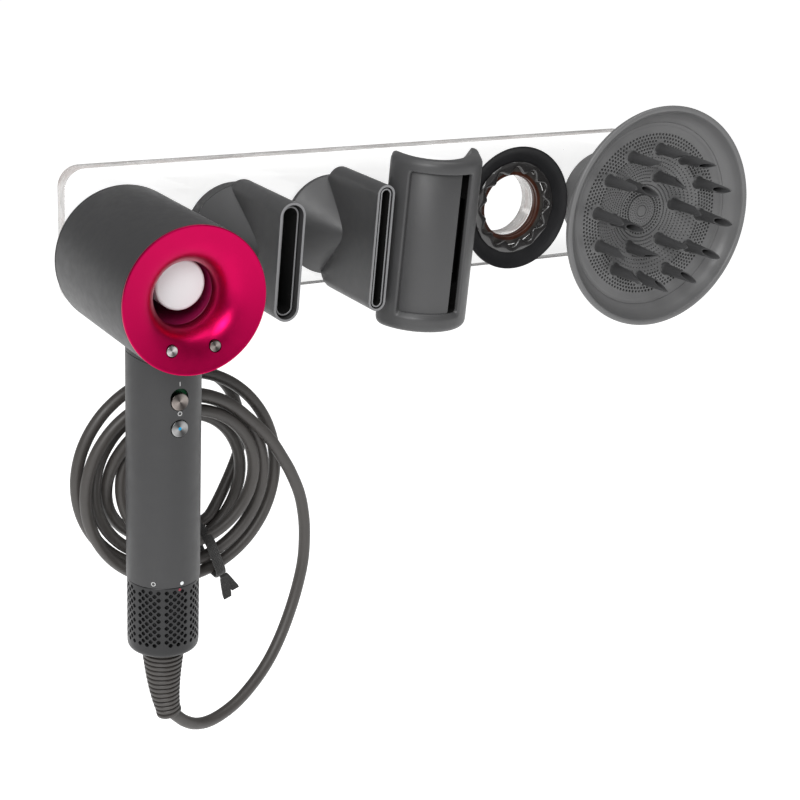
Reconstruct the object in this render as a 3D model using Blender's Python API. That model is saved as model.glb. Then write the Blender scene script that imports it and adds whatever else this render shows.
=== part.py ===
"""Wall holder for a hair dryer, with the dryer and five clip-on attachments on it.

Metres, +Z up. The origin is the middle of the holder's wall face. X runs along the plate, the wall is
the plane Y = 0, and everything stands out from it towards -Y. Each dock has a station frame: its local
Z points straight out of the plate's front face, its local Y points up and its local X runs along the
plate, so a depth in a station frame is a distance out from the plate.
"""
import math

import bmesh
import bpy
from mathutils import Matrix, Vector

for old_object in list(bpy.data.objects):
    bpy.data.objects.remove(old_object, do_unlink=True)

MM = 0.001
GAP = 0.3 * MM

# Plate and pads
PLATE_WIDTH = 384 * MM
PLATE_HEIGHT = 78.6 * MM
PLATE_THICKNESS = 11 * MM
PLATE_CORNER = 12 * MM
PAD_THICKNESS = 1 * MM
PAD_WIDTH = 20 * MM
PAD_HEIGHT = 60 * MM
PAD_XS = (-126 * MM, 1.5 * MM, 131 * MM)
PLATE_BACK = -(PAD_THICKNESS + GAP)
PLATE_FRONT = PLATE_BACK - PLATE_THICKNESS

# Docks, from the dryer's at the left to the diffuser's at the right
DOCK_HEIGHT = -1.5 * MM
DRYER_X = -166.8 * MM
FIRST_RING_X = -92 * MM
RING_PITCH = 62.35 * MM
DIFFUSER_X = 166.7 * MM
RING_XS = [FIRST_RING_X + RING_PITCH * place for place in range(4)] + [DIFFUSER_X]
HOLE_RADIUS = 19 * MM
DOCK_RING_RADIUS = 25 * MM
DOCK_RING_HEIGHT = 3 * MM
MAGNET_BACK = DOCK_RING_HEIGHT + 2 * GAP
MAGNET_HEIGHT = 2 * MM
MAGNET_RADIUS = 24.3 * MM
BORE_RADIUS = 19.5 * MM
COLLAR_RADIUS = 29.5 * MM
ATTACHMENT_SAG = 2 * MM
ATTACHMENT_ROLL = math.radians(-3)

# Rod and its fixing
ROD_RADIUS = 13.7 * MM
ROD_LENGTH = 97.7 * MM
ROD_BASE_RADIUS = 20 * MM
ROD_BASE_LENGTH = 19 * MM
SCREW_RADIUS = 2.4 * MM
SCREW_HEAD_RADIUS = 4.9 * MM
SCREW_DEPTH_IN_ROD = 14 * MM

# Dryer
HEAD_RADIUS = 39 * MM
HEAD_BACK = 20 * MM
HEAD_FRONT = 117 * MM
HEAD_WALL = 2 * MM
DRYER_BORE = 17.5 * MM
BORE_WALL = 1.5 * MM
DRYER_AXIS_HEIGHT = DOCK_HEIGHT - (DRYER_BORE - ROD_RADIUS - GAP)
HANDLE_Y = -88.4 * MM
HANDLE_RADIUS = 20 * MM
HANDLE_WALL = 2 * MM
SEAM_RADIUS = 41.7 * MM
HANDLE_BOTTOM = -171 * MM
CAGE_BOTTOM = -213 * MM
RELIEF_TOP_RADIUS = 12.6 * MM
RELIEF_BOTTOM_RADIUS = 6.3 * MM
RELIEF_TOP = -214 * MM
RELIEF_BOTTOM = -257 * MM
RELIEF_SWING = 3.8 * MM

# Cord
CORD_DIAMETER = 7 * MM
COIL_CENTRE = Vector((-138, -45, -137)) * MM
COIL_INNER = 32 * MM
COIL_OUTER = 61.5 * MM
COIL_HALF_DEPTH = 14.5 * MM
TIE_ANGLE = math.radians(-70)
HOOK_X = -139 * MM
HOOK_WIDTH = 8 * MM
HOOK_THICKNESS = 4 * MM
HOOK_TOP = -14 * MM

FINE = 32
COARSE = 24
SMALL = 12

CHARCOAL = ((0.075, 0.075, 0.08), 0.5, 0.0)
MAGENTA = ((0.6, 0.0, 0.1), 0.4, 0.0)
DARK_METAL = ((0.2, 0.2, 0.2), 0.35, 1.0)
STEEL = ((0.6, 0.6, 0.6), 0.3, 1.0)
BROWN = ((0.12, 0.05, 0.025), 0.5, 0.0)
CLEAR = ((0.85, 0.86, 0.87), 0.08, 0.0)
FROSTED = ((0.85, 0.87, 0.88), 0.45, 0.0)
CORD_GREY = ((0.07, 0.065, 0.06), 0.6, 0.0)
BLACK = ((0.01, 0.01, 0.01), 0.4, 0.0)
BOARD_GREEN = ((0.02, 0.16, 0.06), 0.5, 0.0)
CERAMIC = ((0.7, 0.66, 0.58), 0.7, 0.0)


def dress(piece, look):
    """Gives a piece its own plain material and smooth shading with sharp creases."""
    colour, roughness, metallic = look
    material = bpy.data.materials.new(piece.name)
    material.use_nodes = True
    shader = material.node_tree.nodes["Principled BSDF"]
    shader.inputs["Base Color"].default_value = (*colour, 1.0)
    shader.inputs["Roughness"].default_value = roughness
    shader.inputs["Metallic"].default_value = metallic
    piece.data.materials.clear()
    piece.data.materials.append(material)


def piece_from(name, bm, look, station=None):
    """Turns a bmesh into a named, dressed object, standing in a station frame if one is given."""
    bmesh.ops.remove_doubles(bm, verts=bm.verts, dist=0.000001)
    bmesh.ops.recalc_face_normals(bm, faces=bm.faces)
    mesh = bpy.data.meshes.new(name)
    bm.to_mesh(mesh)
    bm.free()
    mesh.shade_smooth()
    mesh.set_sharp_from_angle(angle=math.radians(35))
    piece = bpy.data.objects.new(name, mesh)
    bpy.context.collection.objects.link(piece)
    piece.parent = station
    dress(piece, look)
    return piece


def shape_with(piece, tool, operation):
    """Adds, cuts or keeps common the tool's shape, and hides the tool."""
    tool.hide_render = True
    tool.display_type = "WIRE"
    change = piece.modifiers.new(tool.name, "BOOLEAN")
    change.operation = operation
    change.object = tool


def station(name, place, tilt=math.radians(90), roll=0.0, yaw=0.0):
    """An empty whose local Z points out of the wall, rolled about that axis and yawed about world Z."""
    empty = bpy.data.objects.new(name, None)
    bpy.context.collection.objects.link(empty)
    turn = Matrix.Rotation(yaw, 4, "Z") @ Matrix.Rotation(tilt, 4, "X") @ Matrix.Rotation(roll, 4, "Z")
    empty.matrix_world = Matrix.Translation(Vector(place)) @ turn
    return empty


def turned(profile, steps=FINE):
    """A closed outline of (radius, height) points turned round the local Z axis."""
    bm = bmesh.new()
    verts = [bm.verts.new((radius, 0.0, height)) for radius, height in profile]
    edges = []
    for here, there in zip(verts, verts[1:] + verts[:1]):
        if here.co.x > 0 or there.co.x > 0:
            edges.append(bm.edges.new((here, there)))
    whole = verts + edges
    bmesh.ops.spin(bm, geom=whole, cent=(0, 0, 0), axis=(0, 0, 1), angle=math.tau, steps=steps)
    bmesh.ops.remove_doubles(bm, verts=bm.verts, dist=0.000002)
    return bm


def tube_profile(inner, outer, low, high, chamfer=0.0):
    """The outline of a plain tube wall, with its outer corners chamfered."""
    return [
        (inner, low), (outer - chamfer, low), (outer, low + chamfer),
        (outer, high - chamfer), (outer - chamfer, high), (inner, high),
    ] if chamfer else [(inner, low), (outer, low), (outer, high), (inner, high)]


def rod_profile(radius, low, high, chamfer=0.0):
    """The outline of a solid round bar."""
    if not chamfer:
        return [(0, low), (radius, low), (radius, high), (0, high)]
    return [
        (0, low), (radius - chamfer, low), (radius, low + chamfer),
        (radius, high - chamfer), (radius - chamfer, high), (0, high),
    ]


def skin_rings(bm, rings):
    """Joins rings of equally many points with quads."""
    for ring, following in zip(rings, rings[1:]):
        for index in range(len(ring)):
            after = (index + 1) % len(ring)
            bm.faces.new((ring[index], ring[after], following[after], following[index]))


def lofted(outlines):
    """A capped solid through outlines of equally many points."""
    bm = bmesh.new()
    rings = [[bm.verts.new(point) for point in outline] for outline in outlines]
    skin_rings(bm, rings)
    bm.faces.new(rings[0])
    bm.faces.new(rings[-1])
    return bm


def lofted_wall(outer_outlines, inner_outlines):
    """An open-ended wall between an outer and an inner set of outlines, given in the same order."""
    bm = bmesh.new()
    outlines = outer_outlines + inner_outlines[::-1]
    rings = [[bm.verts.new(point) for point in outline] for outline in outlines]
    skin_rings(bm, rings + rings[:1])
    return bm


def stadium(half_height, half_width, depth, points=COARSE):
    """A tall slot outline with round ends, at a depth out from the plate."""
    straight = max(half_height - half_width, 0.0)
    outline = []
    for index in range(points):
        angle = math.tau * (index + 0.5) / points
        side = 1 if math.sin(angle) > 0 else -1
        x = half_width * math.cos(angle)
        y = side * straight + min(half_width, half_height) * math.sin(angle)
        outline.append(Vector((x, y, depth)))
    return outline


def circle(radius, depth, points=COARSE):
    """A round outline that matches a stadium's points."""
    return stadium(radius, radius, depth, points=points)


def rounded_rectangle(width, height, corner, steps=6):
    """Points round a rectangle with round corners."""
    points = []
    for turn, (side_x, side_y) in enumerate(((1, 1), (-1, 1), (-1, -1), (1, -1))):
        centre = Vector((side_x * (width / 2 - corner), side_y * (height / 2 - corner)))
        for step in range(steps + 1):
            angle = math.radians(90) * (turn + step / steps)
            points.append(centre + corner * Vector((math.cos(angle), math.sin(angle))))
    return points


def prism(points, low, high, bevel=0.0):
    """A flat outline drawn out from one depth to another, with its two rims bevelled."""
    bm = bmesh.new()
    base = bm.faces.new([bm.verts.new((point[0], point[1], low)) for point in points])
    drawn = bmesh.ops.extrude_face_region(bm, geom=[base])
    moved = [item for item in drawn["geom"] if isinstance(item, bmesh.types.BMVert)]
    bmesh.ops.translate(bm, verts=moved, vec=(0, 0, high - low))
    if bevel:
        rims = [edge for edge in bm.edges if abs(edge.verts[0].co.z - edge.verts[1].co.z) < MM / 100]
        bmesh.ops.bevel(bm, geom=rims, offset=bevel, segments=2, profile=0.5, affect="EDGES")
    return bm


def smooth_route(points, spacing):
    """Evenly spaced points along a smooth curve through a cord route's own points."""
    dense = []
    for index in range(len(points) - 1):
        before = points[max(index - 1, 0)]
        start, end = points[index], points[index + 1]
        after = points[min(index + 2, len(points) - 1)]
        for step in range(20):
            t = step / 20
            line = 2 * start + (end - before) * t
            bend = (2 * before - 5 * start + 4 * end - after) * t * t
            twist = (3 * start - before - 3 * end + after) * t ** 3
            dense.append((line + bend + twist) / 2)
    dense.append(points[-1])
    lengths = [0.0]
    for here, there in zip(dense, dense[1:]):
        lengths.append(lengths[-1] + (there - here).length)
    count = max(round(lengths[-1] / spacing), 2)
    route = []
    cursor = 0
    for index in range(count + 1):
        target = lengths[-1] * index / count
        while cursor < len(dense) - 2 and lengths[cursor + 1] < target:
            cursor += 1
        share = (target - lengths[cursor]) / (lengths[cursor + 1] - lengths[cursor])
        route.append(dense[cursor].lerp(dense[cursor + 1], min(share, 1.0)))
    return route


def cord_tube(name, points):
    """A stretch of the cord as a curve with a round section and filled ends."""
    curve = bpy.data.curves.new(name, "CURVE")
    curve.dimensions = "3D"
    curve.bevel_depth = CORD_DIAMETER / 2
    curve.bevel_resolution = 2
    curve.use_fill_caps = True
    spline = curve.splines.new("POLY")
    route = smooth_route(points, 2.4 * CORD_DIAMETER)
    spline.points.add(len(route) - 1)
    for point, place in zip(spline.points, route):
        point.co = (*place, 1.0)
    piece = bpy.data.objects.new(name, curve)
    bpy.context.collection.objects.link(piece)
    dress(piece, CORD_GREY)
    return piece


# The holder itself

def make_plate():
    front = station("plate_frame", (0, PLATE_FRONT, 0))
    outline = rounded_rectangle(PLATE_WIDTH, PLATE_HEIGHT, PLATE_CORNER)
    plate = piece_from("wall_plate", prism(outline, -PLATE_THICKNESS, 0, 0.4 * MM), CLEAR, front)
    holes = bmesh.new()
    for ring_x in RING_XS:
        place = Matrix.Translation((ring_x, DOCK_HEIGHT, -PLATE_THICKNESS / 2))
        bmesh.ops.create_cone(
            holes, cap_ends=True, segments=FINE, radius1=HOLE_RADIUS, radius2=HOLE_RADIUS,
            depth=2 * PLATE_THICKNESS, matrix=place,
        )
    shape_with(plate, piece_from("dock_hole_cutter", holes, CLEAR, front), "DIFFERENCE")
    clearance = SCREW_RADIUS + GAP
    sink = SCREW_HEAD_RADIUS + GAP
    back = -PLATE_THICKNESS
    profile = [
        (0, back - MM), (sink + MM, back - MM), (clearance, back + sink - clearance),
        (clearance, MM), (0, MM),
    ]
    dryer_dock = station("rod_frame", (DRYER_X, PLATE_FRONT, DOCK_HEIGHT))
    cutter = piece_from("screw_hole_cutter", turned(profile, SMALL), CLEAR, dryer_dock)
    shape_with(plate, cutter, "DIFFERENCE")
    for number, pad_x in enumerate(PAD_XS, 1):
        pad_frame = station(f"pad_frame_{number}", (pad_x, 0, 0))
        outline = rounded_rectangle(PAD_WIDTH, PAD_HEIGHT, 3 * MM, 3)
        piece_from(f"adhesive_pad_{number}", prism(outline, 0, PAD_THICKNESS), CLEAR, pad_frame)
    return dryer_dock


def make_dock_rings():
    for number, ring_x in enumerate(RING_XS, 1):
        dock = station(f"dock_{number}", (ring_x, PLATE_FRONT, DOCK_HEIGHT))
        top = GAP + DOCK_RING_HEIGHT
        profile = tube_profile(HOLE_RADIUS, DOCK_RING_RADIUS, GAP, top)
        piece_from(f"dock_ring_{number}", turned(profile), BROWN, dock)


def make_rod(dryer_dock):
    tapped = SCREW_RADIUS + GAP
    hole_end = SCREW_DEPTH_IN_ROD + MM
    profile = [
        (tapped, GAP), (ROD_RADIUS, GAP), (ROD_RADIUS, ROD_LENGTH - 1.6 * MM),
        (ROD_RADIUS - 0.5 * MM, ROD_LENGTH - 0.5 * MM), (ROD_RADIUS - 1.6 * MM, ROD_LENGTH),
        (0, ROD_LENGTH), (0, hole_end), (tapped, hole_end - MM),
    ]
    piece_from("dryer_rod", turned(profile, FINE), FROSTED, dryer_dock)
    profile = tube_profile(ROD_RADIUS + GAP, ROD_BASE_RADIUS, GAP, ROD_BASE_LENGTH, 0.8 * MM)
    piece_from("rod_base", turned(profile, FINE), FROSTED, dryer_dock)
    head_back = -PLATE_THICKNESS + 0.1 * MM
    neck = head_back + SCREW_HEAD_RADIUS - SCREW_RADIUS
    profile = [
        (0, head_back + 1.8 * MM), (1.5 * MM, head_back + 1.8 * MM), (1.5 * MM, head_back),
        (SCREW_HEAD_RADIUS, head_back), (SCREW_RADIUS, neck),
        (SCREW_RADIUS, SCREW_DEPTH_IN_ROD - MM), (SCREW_RADIUS - MM, SCREW_DEPTH_IN_ROD),
        (0, SCREW_DEPTH_IN_ROD),
    ]
    piece_from("rod_screw", turned(profile, SMALL), STEEL, dryer_dock)


def make_hook():
    """A flat strip down the plate's front, an arm out through the coil and a short upturned tip."""
    back = PLATE_FRONT - GAP
    arm_top = COIL_CENTRE.z + COIL_INNER - 0.8 * MM
    tip_front = COIL_CENTRE.y - COIL_HALF_DEPTH - MM - HOOK_THICKNESS
    bend = 4 * MM
    side = [
        (back, HOOK_TOP), (back, arm_top - HOOK_THICKNESS + bend),
        (back - bend, arm_top - HOOK_THICKNESS), (tip_front + bend, arm_top - HOOK_THICKNESS),
        (tip_front, arm_top - HOOK_THICKNESS + bend), (tip_front, arm_top + 7 * MM),
        (tip_front + HOOK_THICKNESS, arm_top + 7 * MM), (tip_front + HOOK_THICKNESS, arm_top),
        (back - HOOK_THICKNESS, arm_top), (back - HOOK_THICKNESS, HOOK_TOP),
    ]
    bm = prism(side, 0, HOOK_WIDTH)
    stand = Matrix(((0, 0, 1, HOOK_X - HOOK_WIDTH / 2), (1, 0, 0, 0), (0, 1, 0, 0), (0, 0, 0, 1)))
    bmesh.ops.transform(bm, matrix=stand, verts=bm.verts)
    piece_from("cord_hook", bm, CLEAR)


# The cord, which the hook keeps

def make_cord():
    coil_frame = station("coil_frame", COIL_CENTRE)
    middle = (COIL_INNER + COIL_OUTER) / 2
    half_width = (COIL_OUTER - COIL_INNER) / 2
    corner = 8 * MM
    section = rounded_rectangle(2 * half_width, 2 * COIL_HALF_DEPTH, corner, 2)
    profile = [(middle + point.x, point.y) for point in section]
    piece_from("cord_coil", turned(profile, FINE), CORD_GREY, coil_frame)

    lead = [
        Vector((-160.6, -88.2, -258.3)), Vector((-157, -87.7, -262.1)), Vector((-152.3, -86.8, -266.5)),
        Vector((-143.3, -83.8, -271.8)), Vector((-131, -79.5, -273.7)), Vector((-115.1, -74, -270.4)),
        Vector((-101, -69, -262.5)), Vector((-89.6, -64.5, -253.2)), Vector((-80.1, -60.5, -241.5)),
        Vector((-72.3, -57.5, -227.2)), Vector((-66.2, -55, -212.3)), Vector((-62.2, -53.5, -196.5)),
        Vector((-61.4, -53, -179.9)), Vector((-62.7, -53, -166.2)), Vector((-66, -53.5, -152.9)),
        Vector((-72.3, -54.3, -138.8)),
    ]
    cord_tube("cord_lead", [point * MM for point in lead])

    tail = [
        Vector((-93, -26.3, -133)), Vector((-92.5, -25.8, -113)), Vector((-97.5, -24.8, -95)),
        Vector((-108, -23.8, -83.5)), Vector((-122, -23, -79.5)), Vector((-136, -22.5, -83.5)),
        Vector((-146.5, -22, -94.5)), Vector((-151, -21.7, -110)), Vector((-151.3, -21.6, -126)),
    ]
    cord_tube("cord_tail", [point * MM for point in tail])


def make_plug():
    """A flat two-pin plug hanging on the cord's end, behind the coil."""
    place = Vector((-151.3, -21.6, -126.4)) * MM
    plug_frame = station("plug_frame", place, tilt=math.radians(180))
    outlines = []
    for depth, half_width, half_thick in (
        (0, 4.0, 4.0), (11, 5.0, 4.6), (13, 9.5, 6.2), (16, 11.0, 6.6), (42, 11.0, 6.6), (44, 9.8, 5.6),
    ):
        ring = rounded_rectangle(2 * half_width * MM, 2 * half_thick * MM, 0.6 * half_thick * MM, 3)
        outlines.append([Vector((point.x, point.y, depth * MM)) for point in ring])
    plug = piece_from("cord_plug", lofted(outlines), CORD_GREY, plug_frame)
    for side in (-1, 1):
        pin = rounded_rectangle(1.5 * MM, 6.3 * MM, 0.5 * MM, 1)
        bm = prism(pin, 43 * MM, 60 * MM)
        bmesh.ops.translate(bm, verts=bm.verts, vec=(side * 6.35 * MM, 0, 0))
        shape_with(plug, piece_from(f"plug_pin_tool_{side}", bm, STEEL, plug_frame), "UNION")


def make_tie():
    """A strap round the coil's section, with its free end standing off the coil's lower edge."""
    thick = 1.4 * MM
    half_band = 6 * MM
    low = COIL_INNER - MM
    high = COIL_OUTER + GAP
    depth = COIL_HALF_DEPTH + GAP
    outline = rounded_rectangle(high - low + 2 * thick, 2 * (depth + thick), 8.8 * MM, 3)
    middle = (low + high) / 2
    strap_frame = station("strap_frame", COIL_CENTRE, roll=TIE_ANGLE)
    lie = Matrix(((1, 0, 0, middle), (0, 0, 1, 0), (0, 1, 0, 0), (0, 0, 0, 1)))

    def laid(name, points, half, shift=0.0):
        bm = prism(points, -half, half)
        bmesh.ops.transform(bm, matrix=lie @ Matrix.Translation((shift, 0, 0)), verts=bm.verts)
        return piece_from(name, bm, BLACK, strap_frame)

    tie = laid("cord_tie", outline, half_band)
    tab = [(0, depth - thick), (12 * MM, depth - thick), (12 * MM, depth + thick), (0, depth + thick)]
    reach = (high - low) / 2 - 4 * MM
    shape_with(tie, laid("strap_end_tool", tab, half_band - MM, reach), "UNION")
    inside = rounded_rectangle(high - low, 2 * depth, 8 * MM, 3)
    shape_with(tie, laid("strap_hole_cutter", inside, 2 * half_band), "DIFFERENCE")


# The dryer

def head_point(radius, angle, depth):
    """A point in the head's station frame, its angle measured from straight down towards +X."""
    return Vector((radius * math.sin(angle), -radius * math.cos(angle), depth))


def flare_depth(radius):
    """How far the flare's surface lies behind the head's front at a radius."""
    share = (HEAD_RADIUS - 2 * MM - radius) / (HEAD_RADIUS - 2 * MM - DRYER_BORE)
    return 0.5 * MM + 4 * MM * share + 9 * MM * share ** 5


def seam_drum(name, axis, radius):
    """A drum round the head's axis: the seam between neck and handle lies on it."""
    return piece_from(name, turned(rod_profile(radius, HEAD_BACK, HEAD_FRONT + 5 * MM), 64), CHARCOAL, axis)


def make_head(axis):
    solid = turned(rod_profile(HEAD_RADIUS, HEAD_BACK + 2.5 * MM, HEAD_FRONT - 2.2 * MM, 0.4 * MM))
    head = piece_from("head_shell", solid, CHARCOAL, axis)
    neck_frame = station("neck_frame", (DRYER_X, HANDLE_Y, 0), tilt=0.0)
    low, high = DRYER_AXIS_HEIGHT - SEAM_RADIUS - 5 * MM, DRYER_AXIS_HEIGHT - HEAD_RADIUS / 2
    stub = piece_from("neck_tool", turned(rod_profile(HANDLE_RADIUS, low, high)), CHARCOAL, neck_frame)
    shape_with(stub, seam_drum("neck_end_tool", axis, SEAM_RADIUS - GAP / 2), "INTERSECT")
    shape_with(head, stub, "UNION")
    inner = HEAD_RADIUS - HEAD_WALL
    room = turned(rod_profile(inner, HEAD_BACK - 5 * MM, HEAD_FRONT + 5 * MM))
    shape_with(head, piece_from("head_room_cutter", room, CHARCOAL, axis), "DIFFERENCE")
    duct = turned(rod_profile(HANDLE_RADIUS - HANDLE_WALL, low - 5 * MM, high), COARSE)
    shape_with(head, piece_from("neck_duct_cutter", duct, CHARCOAL, neck_frame), "DIFFERENCE")


BUTTON_CIRCLE = 28 * MM
BUTTON_ANGLES = {"speed_button": math.radians(-25), "heat_button": math.radians(25)}
BUTTON_RADIUS = 3 * MM
BUTTON_BACK = HEAD_FRONT - 9 * MM
BOARD_TOP = BUTTON_BACK - 1.6 * MM


def make_flare(axis):
    throat_end = HEAD_FRONT - 20 * MM
    lip = HEAD_RADIUS - 2 * MM
    flare_steps = 7
    front, back = [], []
    for step in range(flare_steps + 1):
        radius = lip + (DRYER_BORE - lip) * (step / flare_steps)
        front.append((radius, HEAD_FRONT - flare_depth(radius)))
        back.append((radius + 1.2 * MM, HEAD_FRONT - flare_depth(radius) - 1.6 * MM))
    back = [point for point in back if point[0] < HEAD_RADIUS - HEAD_WALL - GAP]
    rim_seat = HEAD_FRONT - 2.2 * MM + GAP
    profile = [
        (HEAD_RADIUS - HEAD_WALL - GAP, rim_seat), (HEAD_RADIUS, rim_seat),
        (HEAD_RADIUS, HEAD_FRONT - 0.7 * MM), (HEAD_RADIUS - 0.7 * MM, HEAD_FRONT),
        *front, (DRYER_BORE, throat_end), (DRYER_BORE + BORE_WALL, throat_end), *back[::-1],
    ]
    bezel = piece_from("flare_bezel", turned(profile), MAGENTA, axis)
    for name, angle in BUTTON_ANGLES.items():
        hole = turned(rod_profile(BUTTON_RADIUS + GAP, BUTTON_BACK - MM, HEAD_FRONT + MM), SMALL)
        bmesh.ops.translate(hole, verts=hole.verts, vec=head_point(BUTTON_CIRCLE, angle, 0))
        shape_with(bezel, piece_from(f"{name}_hole_cutter", hole, MAGENTA, axis), "DIFFERENCE")
        top = HEAD_FRONT - flare_depth(BUTTON_CIRCLE) + 0.9 * MM
        button = turned(rod_profile(BUTTON_RADIUS, BUTTON_BACK, top, 0.5 * MM), SMALL)
        bmesh.ops.translate(button, verts=button.verts, vec=head_point(BUTTON_CIRCLE, angle, 0))
        piece_from(name, button, STEEL, axis)
    liner = tube_profile(DRYER_BORE, DRYER_BORE + BORE_WALL, HEAD_BACK + GAP, throat_end - GAP)
    piece_from("bore_liner", turned(liner), MAGENTA, axis)


def make_head_insides(axis):
    inner = HEAD_RADIUS - HEAD_WALL
    slot_outer = 31 * MM
    slot_inner = 29 * MM
    ring = [
        (slot_outer, HEAD_BACK), (HEAD_RADIUS - 1.5 * MM, HEAD_BACK), (HEAD_RADIUS, HEAD_BACK + 1.5 * MM),
        (HEAD_RADIUS, HEAD_BACK + 2.5 * MM - GAP), (inner - GAP, HEAD_BACK + 2.5 * MM - GAP),
        (inner - GAP, HEAD_BACK + 8 * MM), (inner - 2 * MM, HEAD_BACK + 8 * MM),
    ]
    piece_from("outlet_ring", turned(ring), CHARCOAL, axis)
    liner = DRYER_BORE + BORE_WALL + GAP
    magnet = tube_profile(liner, slot_inner, HEAD_BACK, HEAD_BACK + 5 * MM, 0.5 * MM)
    piece_from("outlet_magnet", turned(magnet), DARK_METAL, axis)
    heater = tube_profile(liner + 2 * MM, inner - 3 * MM, HEAD_BACK + 22 * MM, HEAD_BACK + 45 * MM)
    piece_from("heater_ring", turned(heater, COARSE), CERAMIC, axis)
    board = tube_profile(liner + 4 * MM, inner - 2 * MM, BOARD_TOP - 1.6 * MM, BOARD_TOP)
    piece_from("control_board", turned(board, COARSE), BOARD_GREEN, axis)


CONTROL_YAW = math.radians(2)
SWITCH_HEIGHT = -64.9 * MM
SWITCH_RADIUS = 4.8 * MM
SWITCH_TRAVEL = 2.2 * MM
COOL_SHOT_HEIGHT = -79.7 * MM
COOL_SHOT_RADIUS = 4.7 * MM
CONTROL_BACK = 16.5 * MM
CONTROL_FACE = 20.4 * MM


def make_handle(axis):
    """The handle stands on its own upright axis; its controls face out from the wall."""
    upright = station("handle_axis", (DRYER_X, HANDLE_Y, 0), tilt=0.0)
    facing = station("handle_front", (DRYER_X, HANDLE_Y, 0), yaw=CONTROL_YAW)
    inner = HANDLE_RADIUS - HANDLE_WALL
    wall = tube_profile(inner, HANDLE_RADIUS, HANDLE_BOTTOM + GAP, DRYER_AXIS_HEIGHT - SEAM_RADIUS / 2, 0.3 * MM)
    handle = piece_from("handle_shell", turned(wall, FINE), CHARCOAL, upright)
    shape_with(handle, seam_drum("handle_top_cutter", axis, SEAM_RADIUS + GAP / 2), "DIFFERENCE")

    slot_half = SWITCH_RADIUS + SWITCH_TRAVEL / 2 + GAP
    slot = lofted([
        stadium(slot_half, SWITCH_RADIUS + GAP, inner - 5 * MM, points=SMALL),
        stadium(slot_half, SWITCH_RADIUS + GAP, HANDLE_RADIUS + 5 * MM, points=SMALL),
    ])
    bmesh.ops.translate(slot, verts=slot.verts, vec=(0, SWITCH_HEIGHT + SWITCH_TRAVEL / 2, 0))
    shape_with(handle, piece_from("switch_slot_cutter", slot, CHARCOAL, facing), "DIFFERENCE")
    hole = turned(rod_profile(COOL_SHOT_RADIUS + GAP, inner - 5 * MM, HANDLE_RADIUS + 5 * MM), SMALL)
    bmesh.ops.translate(hole, verts=hole.verts, vec=(0, COOL_SHOT_HEIGHT, 0))
    shape_with(handle, piece_from("cool_shot_cutter", hole, CHARCOAL, facing), "DIFFERENCE")

    for name, radius, height in (
        ("power_switch", SWITCH_RADIUS, SWITCH_HEIGHT),
        ("cool_shot_button", COOL_SHOT_RADIUS, COOL_SHOT_HEIGHT),
    ):
        disc = turned(rod_profile(radius, CONTROL_BACK, CONTROL_FACE, 0.5 * MM), SMALL)
        bmesh.ops.translate(disc, verts=disc.verts, vec=(0, height, 0))
        piece_from(name, disc, CHARCOAL, facing)
    board = prism(rounded_rectangle(12 * MM, 34 * MM, MM, 1), 13.4 * MM, 15 * MM)
    bmesh.ops.translate(board, verts=board.verts, vec=(0, -71 * MM, 0))
    piece_from("switch_board", board, BOARD_GREEN, facing)
    return upright


MOTOR_TOP = -112 * MM
MOTOR_BOTTOM = -150 * MM
MOTOR_RADIUS = 13 * MM
SHAFT_RADIUS = 1.5 * MM
POST_RADIUS = 7 * MM
SLEEVE_RADIUS = 16.8 * MM


def make_motor(upright):
    inner = HANDLE_RADIUS - HANDLE_WALL
    housing = [
        (SHAFT_RADIUS + GAP, MOTOR_TOP), (MOTOR_RADIUS - MM, MOTOR_TOP), (MOTOR_RADIUS, MOTOR_TOP - MM),
        (MOTOR_RADIUS, MOTOR_BOTTOM), (0, MOTOR_BOTTOM), (0, MOTOR_TOP - 22 * MM),
        (SHAFT_RADIUS + GAP, MOTOR_TOP - 22 * MM),
    ]
    piece_from("motor_housing", turned(housing, COARSE), DARK_METAL, upright)
    mount = tube_profile(MOTOR_RADIUS + GAP, inner - GAP, MOTOR_BOTTOM + 8 * MM, MOTOR_BOTTOM + 16 * MM)
    piece_from("motor_mount", turned(mount, COARSE), BLACK, upright)

    blades = 9
    points = blades * 6

    def star(height, tip, root, twist):
        outline = []
        for index in range(points):
            angle = math.tau * index / points + twist
            radius = tip if index % 6 in (0, 1) else root
            outline.append(Vector((radius * math.cos(angle), radius * math.sin(angle), height)))
        return outline

    tip, hub = MOTOR_RADIUS + 1.2 * MM, 5 * MM
    impeller = [
        star(MOTOR_TOP - 20 * MM, SHAFT_RADIUS, SHAFT_RADIUS, 0),
        star(MOTOR_TOP + MM, SHAFT_RADIUS, SHAFT_RADIUS, 0),
        star(MOTOR_TOP + MM, tip, hub, 0),
        star(MOTOR_TOP + 7 * MM, tip, hub - MM, 0.35),
        star(MOTOR_TOP + 12 * MM, tip - 2 * MM, hub - 2.5 * MM, 0.7),
    ]
    piece_from("impeller", lofted(impeller), STEEL, upright)


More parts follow.
